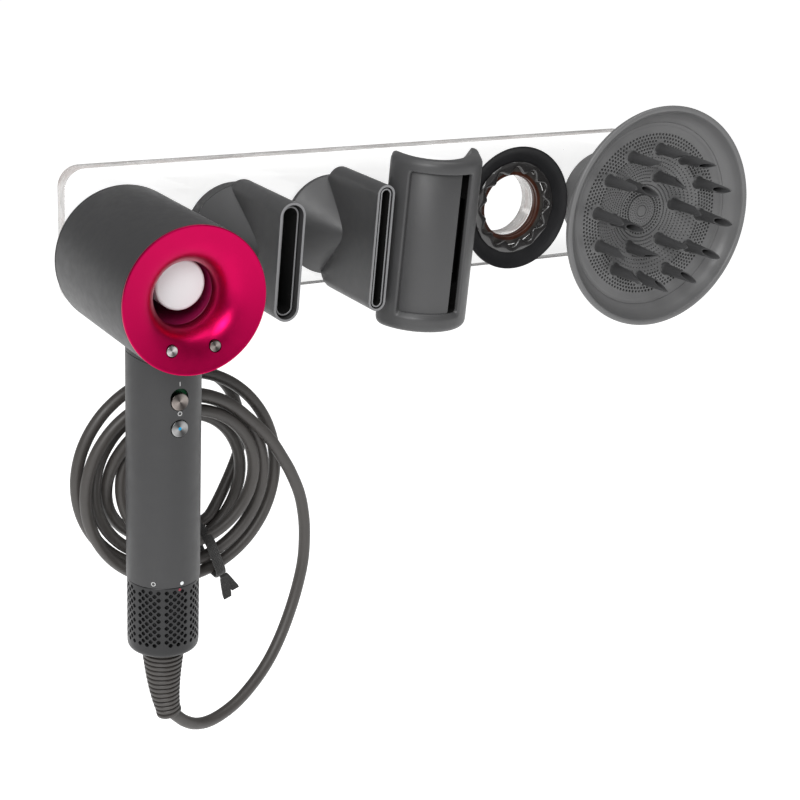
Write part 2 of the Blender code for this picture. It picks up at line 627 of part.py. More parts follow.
def make_filter_and_relief(upright):
    inner = HANDLE_RADIUS - HANDLE_WALL
    base = tube_profile(POST_RADIUS + GAP, inner - GAP, HANDLE_BOTTOM + MM, HANDLE_BOTTOM + 3 * MM)
    piece_from("handle_base", turned(base, COARSE), BLACK, upright)
    sleeve = tube_profile(SLEEVE_RADIUS - MM, SLEEVE_RADIUS, CAGE_BOTTOM + 3 * MM, HANDLE_BOTTOM - MM)
    piece_from("filter_sleeve", turned(sleeve, COARSE), STEEL, upright)
    outer = HANDLE_RADIUS - 0.4 * MM
    mouth = RELIEF_TOP_RADIUS + 0.8 * MM
    cage = [
        (mouth, CAGE_BOTTOM), (outer - 3 * MM, CAGE_BOTTOM), (outer, CAGE_BOTTOM + 3 * MM),
        (outer, HANDLE_BOTTOM), (SLEEVE_RADIUS + GAP, HANDLE_BOTTOM),
        (SLEEVE_RADIUS + GAP, CAGE_BOTTOM + 2 * MM), (mouth, CAGE_BOTTOM + 2 * MM),
    ]
    piece_from("filter_cage", turned(cage), CHARCOAL, upright)

    make_relief(upright)


def make_relief(upright):
    """A ribbed sleeve that narrows and bends the way the cord leaves, on a post through the cage's mouth."""
    ribs = 7
    length = RELIEF_TOP - RELIEF_BOTTOM
    rings = [(RELIEF_BOTTOM_RADIUS, RELIEF_BOTTOM)]
    for rib in range(ribs):
        for edge, proud in ((0.15, 0.0), (0.3, 0.8), (0.7, 0.8), (0.85, 0.0)):
            share = (rib + edge) / ribs
            radius = RELIEF_BOTTOM_RADIUS + (RELIEF_TOP_RADIUS - 1.5 * MM - RELIEF_BOTTOM_RADIUS) * share
            rings.append((radius + proud * MM, RELIEF_BOTTOM + length * share))
    rings += [
        (RELIEF_TOP_RADIUS, RELIEF_TOP - 0.5 * MM), (RELIEF_TOP_RADIUS, RELIEF_TOP + MM),
        (POST_RADIUS, RELIEF_TOP + 2 * MM), (POST_RADIUS, HANDLE_BOTTOM + 6 * MM),
    ]
    outlines = []
    for radius, height in rings:
        share = max((RELIEF_TOP - height) / length, 0.0)
        lean = -math.atan(3 * RELIEF_SWING * share ** 2 / length)
        place = Matrix.Translation((RELIEF_SWING * share ** 3, 0, height)) @ Matrix.Rotation(lean, 4, "Y")
        outlines.append([place @ point for point in circle(radius, 0.0, 16)])
    piece_from("strain_relief", lofted(outlines), CORD_GREY, upright)


def make_dryer():
    axis = station("dryer_axis", (DRYER_X, PLATE_FRONT, DRYER_AXIS_HEIGHT))
    make_head(axis)
    make_flare(axis)
    make_head_insides(axis)
    upright = make_handle(axis)
    make_motor(upright)
    make_filter_and_relief(upright)


# The attachments

def make_magnet(name, dock):
    profile = tube_profile(BORE_RADIUS, MAGNET_RADIUS, MAGNET_BACK, MAGNET_BACK + MAGNET_HEIGHT)
    piece_from(name, turned(profile, FINE), DARK_METAL, dock)


def slab(half_height, half_width, back, front, corner, steps=4):
    """A flat duct with round long edges, its back corners rounded off."""
    outlines = []
    for step in range(steps + 1):
        angle = math.radians(90) * step / steps
        depth = back + corner * (1 - math.cos(angle))
        height = half_height - corner * (1 - math.sin(angle))
        outlines.append(stadium(height, half_width, depth))
    outlines.append(stadium(half_height, half_width, front))
    return lofted(outlines)


def cone(base_radius, straight, tip_radius, tip_depth, low):
    """A short collar that then narrows to the duct's width."""
    outlines = [circle(base_radius, low, FINE), circle(base_radius, straight, FINE)]
    outlines.append(circle(tip_radius, tip_depth, FINE))
    return lofted(outlines)


def make_nozzle(name, dock, half_height, half_width, front, straight, tip_depth, inset, setback):
    """A round collar narrowing into a tall flat duct, with a second wall inside its mouth."""
    wall = 1.3 * MM
    back = GAP
    slab_back = 2.5 * MM
    shell = piece_from(
        f"{name}_shell", cone(COLLAR_RADIUS, straight, half_width - 0.3 * MM, tip_depth, back),
        CHARCOAL, dock,
    )
    flat = slab(half_height, half_width, slab_back, front, 9 * MM)
    shape_with(shell, piece_from(f"{name}_flat_tool", flat, CHARCOAL, dock), "UNION")
    hollow = cone(COLLAR_RADIUS - 1.6 * MM, straight, half_width - 2 * MM, tip_depth, back - 2 * MM)
    shape_with(shell, piece_from(f"{name}_collar_cutter", hollow, CHARCOAL, dock), "DIFFERENCE")
    slot = slab(half_height - wall, half_width - wall, slab_back + wall, front + MM, 8 * MM)
    shape_with(shell, piece_from(f"{name}_slot_cutter", slot, CHARCOAL, dock), "DIFFERENCE")

    lip = 0.9 * MM
    seat = wall + GAP
    duct_back = tip_depth - 2 * MM
    outer = [
        stadium(half_height - seat, half_width - seat, duct_back),
        stadium(half_height - seat, half_width - seat, duct_back + 2 * MM),
        stadium(half_height - inset, half_width - inset, duct_back + 5 * MM),
        stadium(half_height - inset, half_width - inset, front - setback),
    ]
    inner = [
        stadium(half_height - inset - lip, half_width - inset - lip, duct_back),
        stadium(half_height - inset - lip, half_width - inset - lip, front - setback),
    ]
    bm = lofted_wall(outer, inner)
    piece_from(f"{name}_duct", bm, CHARCOAL, dock)


BARREL_YAW = math.radians(-27)
BARREL_REACH = 52.5 * MM
BARREL_RADIUS = 28.9 * MM
BARREL_SHIFT = -1.4 * MM
BARREL_HALF_HEIGHT = 50 * MM
BARREL_BACK = 28 * MM
BARREL_EDGE = 4 * MM
LEFT_START = math.radians(-50)
LEFT_CORNER = ((-0.82, 0.55), (-0.842, 0.45), (-0.84, 0.33))
LEFT_BACK = -0.69
RECESS_HALF_HEIGHT = 40.5 * MM
RECESS_CENTRE = 1.8 * MM
RECESS_DEPTH = 4.5 * MM
ROOM_HALF_HEIGHT = 25 * MM
ROOM_RADIUS = 21 * MM
SLOT_DEPTH = 15 * MM
FACE_THICKNESS = 1.5 * MM
CUT_REACH = 9 * MM
SCOOP_SIZE = Vector((23, 20, 46)) * MM
SCOOP_PLACE = Vector((0, 54, 30)) * MM
SLOT_ANGLES = (math.radians(38.5), math.radians(51.5))
BAR_ANGLES = (math.radians(-29), math.radians(51.5))

# The barrel's bent neck: depth, centre across, lean, half width and half height of each outline
NECK = [
    (GAP, 0.0, 0.0, COLLAR_RADIUS, COLLAR_RADIUS),
    (3.2 * MM, 0.0, 0.0, COLLAR_RADIUS, COLLAR_RADIUS),
    (11 * MM, -3.5 * MM, math.radians(-10), 23 * MM, 29.5 * MM),
    (24 * MM, -11 * MM, math.radians(-21), 24 * MM, 34 * MM),
    (36 * MM, -17.5 * MM, math.radians(-27), 23.2 * MM, 37 * MM),
]
NECK_WALLS = (1.6 * MM, 1.6 * MM, 1.8 * MM, 7 * MM)


def neck_outline(depth, centre, lean, half_x, half_y):
    """An oval outline whose plane leans about the station's upright direction."""
    place = Matrix.Translation((centre, 0, depth)) @ Matrix.Rotation(lean, 4, "Y")
    return [place @ Vector((point.x * half_x, point.y * half_y, 0)) for point in circle(1.0, 0.0, FINE)]


def barrel_plan(radius, back, steps=18):
    """A half-round plan (x across, depth out), cut short on its left side, where it falls back to the neck.

    The left corner and back are shares of the radius.
    """
    points = [(LEFT_BACK * radius, back)]
    for across, out in reversed(LEFT_CORNER):
        points.append((across * radius, BARREL_REACH + out * radius))
    for step in range(steps + 1):
        angle = LEFT_START + (math.radians(90) - LEFT_START) * step / steps
        points.append((radius * math.sin(angle), BARREL_REACH + radius * math.cos(angle)))
    return points + [(radius, back)]


def wedge_plan(near, far, start, end, steps=4):
    """A sector between two radii and two angles, round the barrel's upright axis."""
    points = []
    for step in range(steps + 1):
        angle = start + (end - start) * step / steps
        points.append((far * math.sin(angle), BARREL_REACH + far * math.cos(angle)))
    for step in range(steps + 1):
        angle = end + (start - end) * step / steps
        points.append((near * math.sin(angle), BARREL_REACH + near * math.cos(angle)))
    return points


def upright_prism(name, plan, half_height, frame, bevel=0.0, shift=0.0):
    """A plan drawn along the station frame's own upright direction."""
    bm = prism(plan, -half_height, half_height, bevel)
    lie = Matrix(((1, 0, 0, 0), (0, 0, 1, shift), (0, 1, 0, 0), (0, 0, 0, 1)))
    bmesh.ops.transform(bm, matrix=lie, verts=bm.verts)
    return piece_from(name, bm, CHARCOAL, frame)


def make_barrel(dock_x):
    """A tall half-round drum on a bent neck, with a slot down one side and a saddle in each end."""
    place = (dock_x, PLATE_FRONT, DOCK_HEIGHT - ATTACHMENT_SAG)
    dock = station("barrel_dock", place, roll=ATTACHMENT_ROLL)
    make_magnet("barrel_magnet", dock)
    drum_place = (dock_x + BARREL_SHIFT, *place[1:])
    drum_frame = station("barrel_frame", drum_place, roll=ATTACHMENT_ROLL, yaw=BARREL_YAW)

    body = upright_prism(
        "barrel_shell", barrel_plan(BARREL_RADIUS, BARREL_BACK), BARREL_HALF_HEIGHT, drum_frame, BARREL_EDGE,
    )
    outer_neck = lofted([
        neck_outline(depth, centre, lean, half_x, half_y) for depth, centre, lean, half_x, half_y in NECK
    ])
    shape_with(body, piece_from("barrel_neck_tool", outer_neck, CHARCOAL, dock), "UNION")
    for side in (-1, 1):
        scoop = bmesh.new()
        bmesh.ops.create_uvsphere(scoop, u_segments=32, v_segments=16, radius=1.0)
        move = Matrix.Translation((SCOOP_PLACE.x, side * SCOOP_PLACE.y, SCOOP_PLACE.z))
        bmesh.ops.transform(scoop, matrix=move @ Matrix.Diagonal((*SCOOP_SIZE, 1)), verts=scoop.verts)
        shape_with(body, piece_from(f"barrel_scoop_cutter_{side}", scoop, CHARCOAL, drum_frame), "DIFFERENCE")
    recess = upright_prism(
        "barrel_recess_cutter",
        wedge_plan(BARREL_RADIUS - RECESS_DEPTH, BARREL_RADIUS + CUT_REACH, *BAR_ANGLES, 12),
        RECESS_HALF_HEIGHT, drum_frame, shift=RECESS_CENTRE,
    )
    shape_with(body, recess, "DIFFERENCE")
    slot = upright_prism(
        "barrel_slot_cutter",
        wedge_plan(BARREL_RADIUS - SLOT_DEPTH, BARREL_RADIUS + CUT_REACH, *SLOT_ANGLES),
        RECESS_HALF_HEIGHT, drum_frame, shift=RECESS_CENTRE,
    )
    shape_with(body, slot, "DIFFERENCE")
    room = upright_prism(
        "barrel_room_cutter", barrel_plan(ROOM_RADIUS, BARREL_BACK + 4 * MM), ROOM_HALF_HEIGHT, drum_frame,
    )
    shape_with(body, room, "DIFFERENCE")
    bore = [(-MM, *NECK[0][1:])] + NECK[1:4]
    inner_neck = lofted([
        neck_outline(depth, centre, lean, half_x - wall, half_y - wall)
        for wall, (depth, centre, lean, half_x, half_y) in zip(NECK_WALLS, bore)
    ])
    shape_with(body, piece_from("barrel_bore_cutter", inner_neck, CHARCOAL, dock), "DIFFERENCE")

    face_back = BARREL_RADIUS - RECESS_DEPTH + GAP
    upright_prism(
        "barrel_drum",
        wedge_plan(face_back, face_back + FACE_THICKNESS, BAR_ANGLES[0] + 0.02, SLOT_ANGLES[0], 14),
        RECESS_HALF_HEIGHT - GAP, drum_frame, shift=RECESS_CENTRE,
    )


def make_ring_attachment(dock_x):
    """A shallow dish with a toothed collar in its middle."""
    dock = station("ring_dock", (dock_x, PLATE_FRONT, DOCK_HEIGHT))
    make_magnet("ring_magnet", dock)
    rim = 38.5 * MM
    rim_depth = 11.7 * MM
    floor = 8 * MM
    profile = [
        (COLLAR_RADIUS - 1.8 * MM, GAP), (COLLAR_RADIUS, GAP), (31 * MM, 3 * MM), (35 * MM, 7 * MM),
        (rim, rim_depth - 0.8 * MM), (rim - 0.3 * MM, rim_depth), (rim - 1.2 * MM, rim_depth - 0.2 * MM),
        (33.5 * MM, floor + MM), (COLLAR_RADIUS + GAP, floor + 0.2 * MM), (27.4 * MM, floor),
        (27.4 * MM, floor - 1.2 * MM), (COLLAR_RADIUS, floor - 2 * MM), (COLLAR_RADIUS - 1.8 * MM, 3 * MM),
    ]
    piece_from("ring_dish", turned(profile), CHARCOAL, dock)

    teeth = 12
    points = teeth * 8
    crown_low = floor + GAP
    crown_high = floor + 2.2 * MM
    root = MAGNET_HEIGHT + MAGNET_BACK + GAP

    def wavy(depth, mean, swing):
        outline = []
        for index in range(points):
            angle = math.tau * index / points
            radius = mean + swing * math.cos(teeth * angle)
            outline.append(Vector((radius * math.cos(angle), radius * math.sin(angle), depth)))
        return outline

    outer = [
        wavy(root, 25.6 * MM, 0), wavy(crown_low - GAP, 27 * MM, 0), wavy(crown_low, 28 * MM, 0),
        wavy(crown_high, 28.6 * MM, 0),
    ]
    inner = [
        wavy(root, 24.4 * MM, 0), wavy(crown_low - 1.6 * MM, 24.6 * MM, 0), wavy(crown_low, 23.8 * MM, 1.9 * MM),
        wavy(crown_high, 24.6 * MM, 1.9 * MM),
    ]
    piece_from("ring_teeth", lofted_wall(outer, inner), DARK_METAL, dock)


BOWL_RIM = 68.6 * MM
BOWL_DEPTH = 63.3 * MM
DISC_THICKNESS = 2 * MM
# The disc's front surface: radius and depth, dished towards the middle
DISC_FACE = [(60.6 * MM, 54.6 * MM), (51.5 * MM, 52.2 * MM), (38.5 * MM, 52.2 * MM), (24 * MM, 46.4 * MM),
             (15 * MM, 44.4 * MM), (10 * MM, 44.2 * MM)]
TINE_RINGS = ((12, 40.5 * MM, math.radians(-5), 52.2 * MM), (6, 23.5 * MM, math.radians(8), 46.2 * MM))
TINE_LENGTH = 30 * MM
TINE_ROOT_RADIUS = 3.8 * MM
TINE_TIP_RADIUS = 2.1 * MM


def make_diffuser(dock_x):
    """A deep bowl closed by a dished, perforated disc that carries two rings of hollow tines."""
    dock = station("diffuser_dock", (dock_x, PLATE_FRONT, DOCK_HEIGHT))
    make_magnet("diffuser_magnet", dock)
    outside = [
        (COLLAR_RADIUS, GAP), (30.6 * MM, 18 * MM), (33 * MM, 24 * MM), (44 * MM, 35 * MM),
        (58 * MM, 49 * MM), (66 * MM, 57.5 * MM), (BOWL_RIM, 60.5 * MM), (BOWL_RIM, 62 * MM),
        (BOWL_RIM - 1.5 * MM, BOWL_DEPTH), (BOWL_RIM - 4 * MM, BOWL_DEPTH),
    ]
    inside = [
        (63 * MM, 60 * MM), (61 * MM, 54.4 * MM), (56.5 * MM, 50 * MM), (42.5 * MM, 37 * MM),
        (31 * MM, 26 * MM), (28.8 * MM, 18 * MM), (COLLAR_RADIUS - 1.8 * MM, GAP),
    ]
    piece_from("diffuser_bowl", turned(outside + inside), CHARCOAL, dock)

    back = [(radius, depth - DISC_THICKNESS) for radius, depth in DISC_FACE[1:]]
    disc = piece_from("diffuser_disc", turned(DISC_FACE + back[::-1]), CHARCOAL, dock)
    tines = bmesh.new()
    for count, circle_radius, offset, depth in TINE_RINGS:
        for index in range(count):
            angle = math.tau * index / count + offset
            place = Matrix.Translation((
                circle_radius * math.cos(angle), circle_radius * math.sin(angle),
                depth - 0.8 * MM + TINE_LENGTH / 2,
            ))
            bmesh.ops.create_cone(
                tines, cap_ends=True, segments=10, radius1=TINE_ROOT_RADIUS, radius2=TINE_TIP_RADIUS,
                depth=TINE_LENGTH, matrix=place,
            )
    shape_with(disc, piece_from("diffuser_tine_tool", tines, CHARCOAL, dock), "UNION")
    hub_radius, hub_depth = DISC_FACE[-1]
    hub_radius -= GAP
    hub = [
        (0, hub_depth - DISC_THICKNESS), (hub_radius, hub_depth - DISC_THICKNESS),
        (hub_radius, hub_depth), (0, hub_depth - 0.3 * MM),
    ]
    piece_from("diffuser_hub", turned(hub, COARSE), CHARCOAL, dock)


def make_attachments():
    height = DOCK_HEIGHT - ATTACHMENT_SAG
    wide = station("wide_nozzle_dock", (RING_XS[0], PLATE_FRONT, height), roll=ATTACHMENT_ROLL)
    make_magnet("wide_nozzle_magnet", wide)
    make_nozzle(
        "wide_nozzle", wide, half_height=33 * MM, half_width=7.6 * MM, front=72.2 * MM,
        straight=9 * MM, tip_depth=50 * MM, inset=2.6 * MM, setback=3 * MM,
    )
    narrow = station("narrow_nozzle_dock", (RING_XS[1], PLATE_FRONT, height), roll=ATTACHMENT_ROLL)
    make_magnet("narrow_nozzle_magnet", narrow)
    make_nozzle(
        "narrow_nozzle", narrow, half_height=36.2 * MM, half_width=5.4 * MM, front=62.7 * MM,
        straight=3.2 * MM, tip_depth=26.7 * MM, inset=2.1 * MM, setback=0.2 * MM,
    )
    make_barrel(RING_XS[2])
    make_ring_attachment(RING_XS[3])
    make_diffuser(RING_XS[4])


def main():
    dryer_dock = make_plate()
    make_dock_rings()
    make_rod(dryer_dock)
    make_hook()
    make_cord()
    make_plug()
    make_tie()
    make_dryer()
    make_attachments()


main()
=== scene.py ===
"""The looks of a wall holder with a hair dryer and five attachments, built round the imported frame.

The frame is in metres. Every mesh here is drawn in millimetres in the frame of the station that it stands
on, and raw() scales it. A dock's station has its local Z straight out of the plate, its local Y up and its
local X along the plate. Profiles are (radius, height) points, and a third number rounds that corner.
"""
from math import atan, cos, pi, radians, sin, tau

import bmesh
import bpy
from mathutils import Matrix, Vector


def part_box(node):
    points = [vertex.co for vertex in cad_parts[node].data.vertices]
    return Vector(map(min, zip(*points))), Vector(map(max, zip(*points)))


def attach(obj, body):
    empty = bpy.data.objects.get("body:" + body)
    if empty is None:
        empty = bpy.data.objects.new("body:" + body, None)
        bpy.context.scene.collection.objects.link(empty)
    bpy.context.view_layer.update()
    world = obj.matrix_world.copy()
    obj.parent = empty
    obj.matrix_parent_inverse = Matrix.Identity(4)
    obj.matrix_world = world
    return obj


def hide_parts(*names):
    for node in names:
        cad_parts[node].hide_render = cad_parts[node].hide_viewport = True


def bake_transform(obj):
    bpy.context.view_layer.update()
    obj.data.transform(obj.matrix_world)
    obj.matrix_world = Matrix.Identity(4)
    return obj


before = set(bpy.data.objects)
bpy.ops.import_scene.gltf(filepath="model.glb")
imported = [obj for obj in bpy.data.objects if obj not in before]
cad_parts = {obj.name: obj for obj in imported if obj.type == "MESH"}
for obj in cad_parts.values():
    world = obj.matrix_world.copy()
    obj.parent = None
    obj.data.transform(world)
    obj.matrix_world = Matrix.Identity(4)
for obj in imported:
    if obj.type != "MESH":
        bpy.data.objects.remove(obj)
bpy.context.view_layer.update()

MM = 0.001
GAP = 0.3
CURVE_STEPS = 96


def middle(node):
    """The middle of a node's box, in millimetres."""
    low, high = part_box(node)
    return (low + high) / 2 / MM


def turn_about(axis, degrees):
    return Matrix.Rotation(radians(degrees), 4, axis)


def shift(x, y, z):
    """A move in millimetres."""
    return Matrix.Translation(Vector((x, y, z)) * MM)


def station(place, tilt=90.0, roll=0.0, yaw=0.0):
    """A frame whose local Z points out of the wall, rolled about that axis and yawed about the world's Z."""
    return shift(*place) @ turn_about("Z", yaw) @ turn_about("X", tilt) @ turn_about("Z", roll)


# Places read from the frame

plate_low, plate_high = (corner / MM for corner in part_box("wall_plate"))
PLATE_FRONT = plate_low.y
PLATE_THICKNESS = plate_high.y - plate_low.y
RING_CENTRES = [middle(f"dock_ring_{number}") for number in range(1, 6)]
DOCK_HEIGHT = RING_CENTRES[0].z
DRYER_X = middle("dryer_rod").x
DRYER_AXIS_HEIGHT = middle("bore_liner").z
HANDLE_Y = middle("handle_shell").y
ATTACHMENT_SAG = 2.0
ATTACHMENT_ROLL = -3.0

WORLD = Matrix.Identity(4)
ROD_DOCK = station((DRYER_X, PLATE_FRONT, DOCK_HEIGHT))
DRYER_AXIS = station((DRYER_X, PLATE_FRONT, DRYER_AXIS_HEIGHT))
HANDLE_AXIS = station((DRYER_X, HANDLE_Y, 0), tilt=0)
DOCKS = [station((centre.x, PLATE_FRONT, DOCK_HEIGHT)) for centre in RING_CENTRES]
SAGGED = [
    station((centre.x, PLATE_FRONT, DOCK_HEIGHT - ATTACHMENT_SAG), roll=ATTACHMENT_ROLL)
    for centre in RING_CENTRES
]


# Camera, light and floor

CAMERA_PLACE = (-0.5181, -0.912, 0.2448)
CAMERA_YAW, CAMERA_PITCH, CAMERA_ROLL = 0.543, 0.335, 0.048
CAMERA_LENS = 80.16
LIGHT_TARGET = (0, -0.06, -0.08)
WORLD_STRENGTH = 0.32
FLOOR_HEIGHT, FLOOR_HALF = -0.62, 30
FLOOR_GREY, FLOOR_GLOW = 0.93, 0.72


def stand(name, data):
    """A new object in the scene."""
    obj = bpy.data.objects.new(name, data)
    bpy.context.collection.objects.link(obj)
    return obj


def make_camera():
    """The camera stands left of the holder and above it, turned to the right and down."""
    yaw, pitch, roll = CAMERA_YAW, CAMERA_PITCH, CAMERA_ROLL
    forward = Vector((sin(yaw) * cos(pitch), cos(yaw) * cos(pitch), -sin(pitch)))
    level_right = Vector((cos(yaw), -sin(yaw), 0))
    level_up = level_right.cross(forward)
    right = cos(roll) * level_right + sin(roll) * level_up
    up = -sin(roll) * level_right + cos(roll) * level_up
    data = bpy.data.cameras.new("camera")
    data.sensor_width = 36
    data.lens = CAMERA_LENS
    data.clip_start = 0.05
    data.clip_end = 100
    camera = stand("camera", data)
    turn = Matrix((right, up, -forward)).transposed().to_4x4()
    camera.matrix_world = Matrix.Translation(CAMERA_PLACE) @ turn
    bpy.context.scene.camera = camera


def make_light(name, place, size, power):
    """A rectangular light that faces the middle of the part."""
    data = bpy.data.lights.new(name, "AREA")
    data.shape = "RECTANGLE"
    data.size, data.size_y = size
    data.energy = power
    light = stand(name, data)
    light.location = place
    light.rotation_euler = (Vector(LIGHT_TARGET) - Vector(place)).to_track_quat("-Z", "Y").to_euler()


def make_studio():
    scene = bpy.context.scene
    scene.world = bpy.data.worlds.new("studio")
    scene.world.use_nodes = True
    background = scene.world.node_tree.nodes["Background"]
    background.inputs["Color"].default_value = (1, 1, 1, 1)
    background.inputs["Strength"].default_value = WORLD_STRENGTH
    scene.view_settings.view_transform = "Standard"
    make_light("key", (-1.3, -1.5, 1.2), (1.2, 1.2), 42)
    make_light("right_fill", (1.5, -1.2, 0.3), (1.0, 1.6), 1.5)
    make_light("top", (0.1, -0.3, 1.7), (1.8, 1.0), 17)
    bm = bmesh.new()
    corners = ((-1, -1), (1, -1), (1, 1), (-1, 1))
    bm.faces.new([bm.verts.new((x * FLOOR_HALF, y * FLOOR_HALF, FLOOR_HEIGHT)) for x, y in corners])
    mesh = bpy.data.meshes.new("floor")
    bm.to_mesh(mesh)
    bm.free()
    floor = stand("floor", mesh)
    floor.data.materials.append(dressed(blank("floor_white"), {}, {
        "Base Color": (FLOOR_GREY, FLOOR_GREY, FLOOR_GREY, 1), "Roughness": 0.9,
        "Emission Color": (1, 1, 1, 1), "Emission Strength": FLOOR_GLOW,
    }))


# Mesh tools

def bake(obj):
    """Gives an object the mesh that its modifiers make."""
    graph = bpy.context.evaluated_depsgraph_get()
    mesh = bpy.data.meshes.new_from_object(obj.evaluated_get(graph), depsgraph=graph)
    obj.modifiers.clear()
    obj.data = mesh


def crease(obj, angle=32):
    obj.data.shade_smooth()
    obj.data.set_sharp_from_angle(angle=radians(angle))


def raw(name, bm, place):
    """A mesh drawn in millimetres, as an object standing in its station's frame."""
    bmesh.ops.remove_doubles(bm, verts=bm.verts, dist=0.001)
    bmesh.ops.recalc_face_normals(bm, faces=bm.faces)
    bmesh.ops.scale(bm, verts=bm.verts, vec=(MM, MM, MM))
    mesh = bpy.data.meshes.new(name)
    bm.to_mesh(mesh)
    bm.free()
    obj = stand(name, mesh)
    obj.matrix_world = place
    return obj


def shape_with(obj, bm, place, operation="DIFFERENCE"):
    """Cuts, adds or keeps what is common with a tool drawn in millimetres."""
    tool = raw("tool", bm, place)
    bpy.context.view_layer.update()
    change = obj.modifiers.new("shape", "BOOLEAN")
    change.operation = operation
    change.solver = "EXACT"
    change.object = tool
    bake(obj)
    bpy.data.objects.remove(tool)


def soften(obj, width, segments=3, angle=40):
    """Rounds the edges sharper than an angle."""
    change = obj.modifiers.new("rounding", "BEVEL")
    change.width = width * MM
    change.segments = segments
    change.limit_method = "ANGLE"
    change.angle_limit = radians(angle)
    change.harden_normals = True
    change.miter_outer = "MITER_ARC"
    bake(obj)


def melt(obj, cell, passes):
    """Rebuilds a mesh on a fine grid and relaxes it, which rounds its edges like a moulding's."""
    change = obj.modifiers.new("grid", "REMESH")
    change.mode = "VOXEL"
    change.voxel_size = cell * MM
    change = obj.modifiers.new("relax", "SMOOTH")
    change.factor = 0.5
    change.iterations = passes
    bake(obj)


def second_look(obj, look, is_there):
    """Gives one more material to the faces whose middle, in millimetres, passes a test."""
    obj.data.materials.append(look)
    for face in obj.data.polygons:
        if is_there(face.center / MM):
            face.material_index = len(obj.data.materials) - 1


def finish_piece(obj, look, body, nodes=(), slot="charcoal_plastic", angle=32):
    crease(obj, angle)
    obj.data.materials.clear()
    obj.data.materials.append(look)
    if nodes:
        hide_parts(*nodes)
    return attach(obj, body)


def piece(name, bm, place, *finish, **more):
    """A finished piece; what follows its place goes to finish_piece."""
    return finish_piece(raw(name, bm, place), *finish, **more)


def rounded(profile, steps=4):
    """Replaces each corner that has a third number by a small curve that starts that far from it."""
    points = []
    count = len(profile)
    for index, corner in enumerate(profile):
        at = Vector(corner[:2])
        if len(corner) < 3:
            points.append(at)
            continue
        before = Vector(profile[(index - 1) % count][:2])
        after = Vector(profile[(index + 1) % count][:2])
        start = at + (before - at).normalized() * corner[2]
        end = at + (after - at).normalized() * corner[2]
        for step in range(steps + 1):
            t = step / steps
            points.append(start.lerp(at, t).lerp(at.lerp(end, t), t))
    return points


def polar(radius, angle, height=0.0):
    return Vector((radius * cos(angle), radius * sin(angle), height))


def round_angles(count):
    """Evenly spaced angles, one turn in all."""
    return [tau * step / count for step in range(count)]


def turned(profile, steps=CURVE_STEPS):
    """A closed outline of (radius, height) points turned round the local Z axis."""
    bm = bmesh.new()
    rings = []
    for point in rounded(profile):
        angles = round_angles(steps if point.x >= 0.001 else 1)
        rings.append([bm.verts.new(polar(point.x, angle, point.y)) for angle in angles])
    for ring, following in zip(rings, rings[1:] + rings[:1]):
        if len(ring) == 1 and len(following) == 1:
            continue
        for step in range(steps):
            after = (step + 1) % steps
            corners = [ring[step % len(ring)], ring[after % len(ring)]]
            corners += [following[after % len(following)], following[step % len(following)]]
            bm.faces.new(dict.fromkeys(corners))
    return bm


def tube(inner, outer, low, high, soft=0.3):
    """The profile of a plain tube wall with its corners rounded."""
    return [(inner, low, soft), (outer, low, soft), (outer, high, soft), (inner, high, soft)]


def bar(radius, low, high, soft=0.3):
    """The profile of a round bar."""
    return [(0, low), (radius, low, soft), (radius, high, soft), (0, high)]


def skin(bm, rings, closed=False):
    """Joins rings of equally many vertices with quads."""
    following_rings = rings[1:] + rings[:1] if closed else rings[1:]
    for ring, following in zip(rings, following_rings):
        for index in range(len(ring)):
            after = (index + 1) % len(ring)
            bm.faces.new((ring[index], ring[after], following[after], following[index]))


def capped(bm, rings):
    """Joins rings with quads and closes both ends."""
    skin(bm, rings)
    bm.faces.new(rings[0])
    bm.faces.new(rings[-1])


def lofted(outlines, closed=False):
    """A solid through outlines of equally many points: capped, or a wall that returns to its start."""
    bm = bmesh.new()
    rings = [[bm.verts.new(point) for point in outline] for outline in outlines]
    if closed:
        skin(bm, rings, closed)
    else:
        capped(bm, rings)
    return bm


def stadium(half_height, half_width, depth, points=64):
    """A tall slot outline with round ends, at a depth out from the plate."""
    straight = max(half_height - half_width, 0.0)
    outline = []
    for index in range(points):
        angle = tau * (index + 0.5) / points
        side = 1 if sin(angle) > 0 else -1
        y = side * straight + min(half_width, half_height) * sin(angle)
        outline.append(Vector((half_width * cos(angle), y, depth)))
    return outline


def circle(radius, depth, points=64):
    return stadium(radius, radius, depth, points)


def rounded_rectangle(width, height, corner, steps=8):
    points = []
    for turn, (side_x, side_y) in enumerate(((1, 1), (-1, 1), (-1, -1), (1, -1))):
        centre = Vector((side_x * (width / 2 - corner), side_y * (height / 2 - corner)))
        for step in range(steps + 1):
            angle = radians(90) * (turn + step / steps)
            points.append(centre + corner * Vector((cos(angle), sin(angle))))
    return points


def prism(points, low, high):
    """A flat outline drawn out from one depth to another."""
    return lofted([[Vector((point[0], point[1], depth)) for point in points] for depth in (low, high)])


# Materials

def join(tree, node, links, values):
    """Gives a node's inputs plain values, or feeds them from other nodes' outputs."""
    for socket, value in values.items():
        node.inputs[socket].default_value = value
    for socket, source in links.items():
        tree.links.new(source, node.inputs[socket])


def add(tree, kind, links, values=None, **settings):
    """A new shader node's outputs."""
    node = tree.nodes.new(f"ShaderNode{kind}")
    for setting, value in settings.items():
        setattr(node, setting, value)
    join(tree, node, links, values or {})
    return node.outputs


def maths(tree, operation, *terms):
    """The result of a Math node, whose terms are floats or other nodes' outputs."""
    values = {index: term for index, term in enumerate(terms) if isinstance(term, float)}
    links = {index: term for index, term in enumerate(terms) if index not in values}
    return add(tree, "Math", links, values, operation=operation)["Value"]


def coordinates(tree, stretch):
    """The piece's own coordinates in metres, stretched."""
    own = add(tree, "TexCoord", {})["Object"]
    return add(tree, "Mapping", {"Vector": own}, {"Scale": stretch})["Vector"]


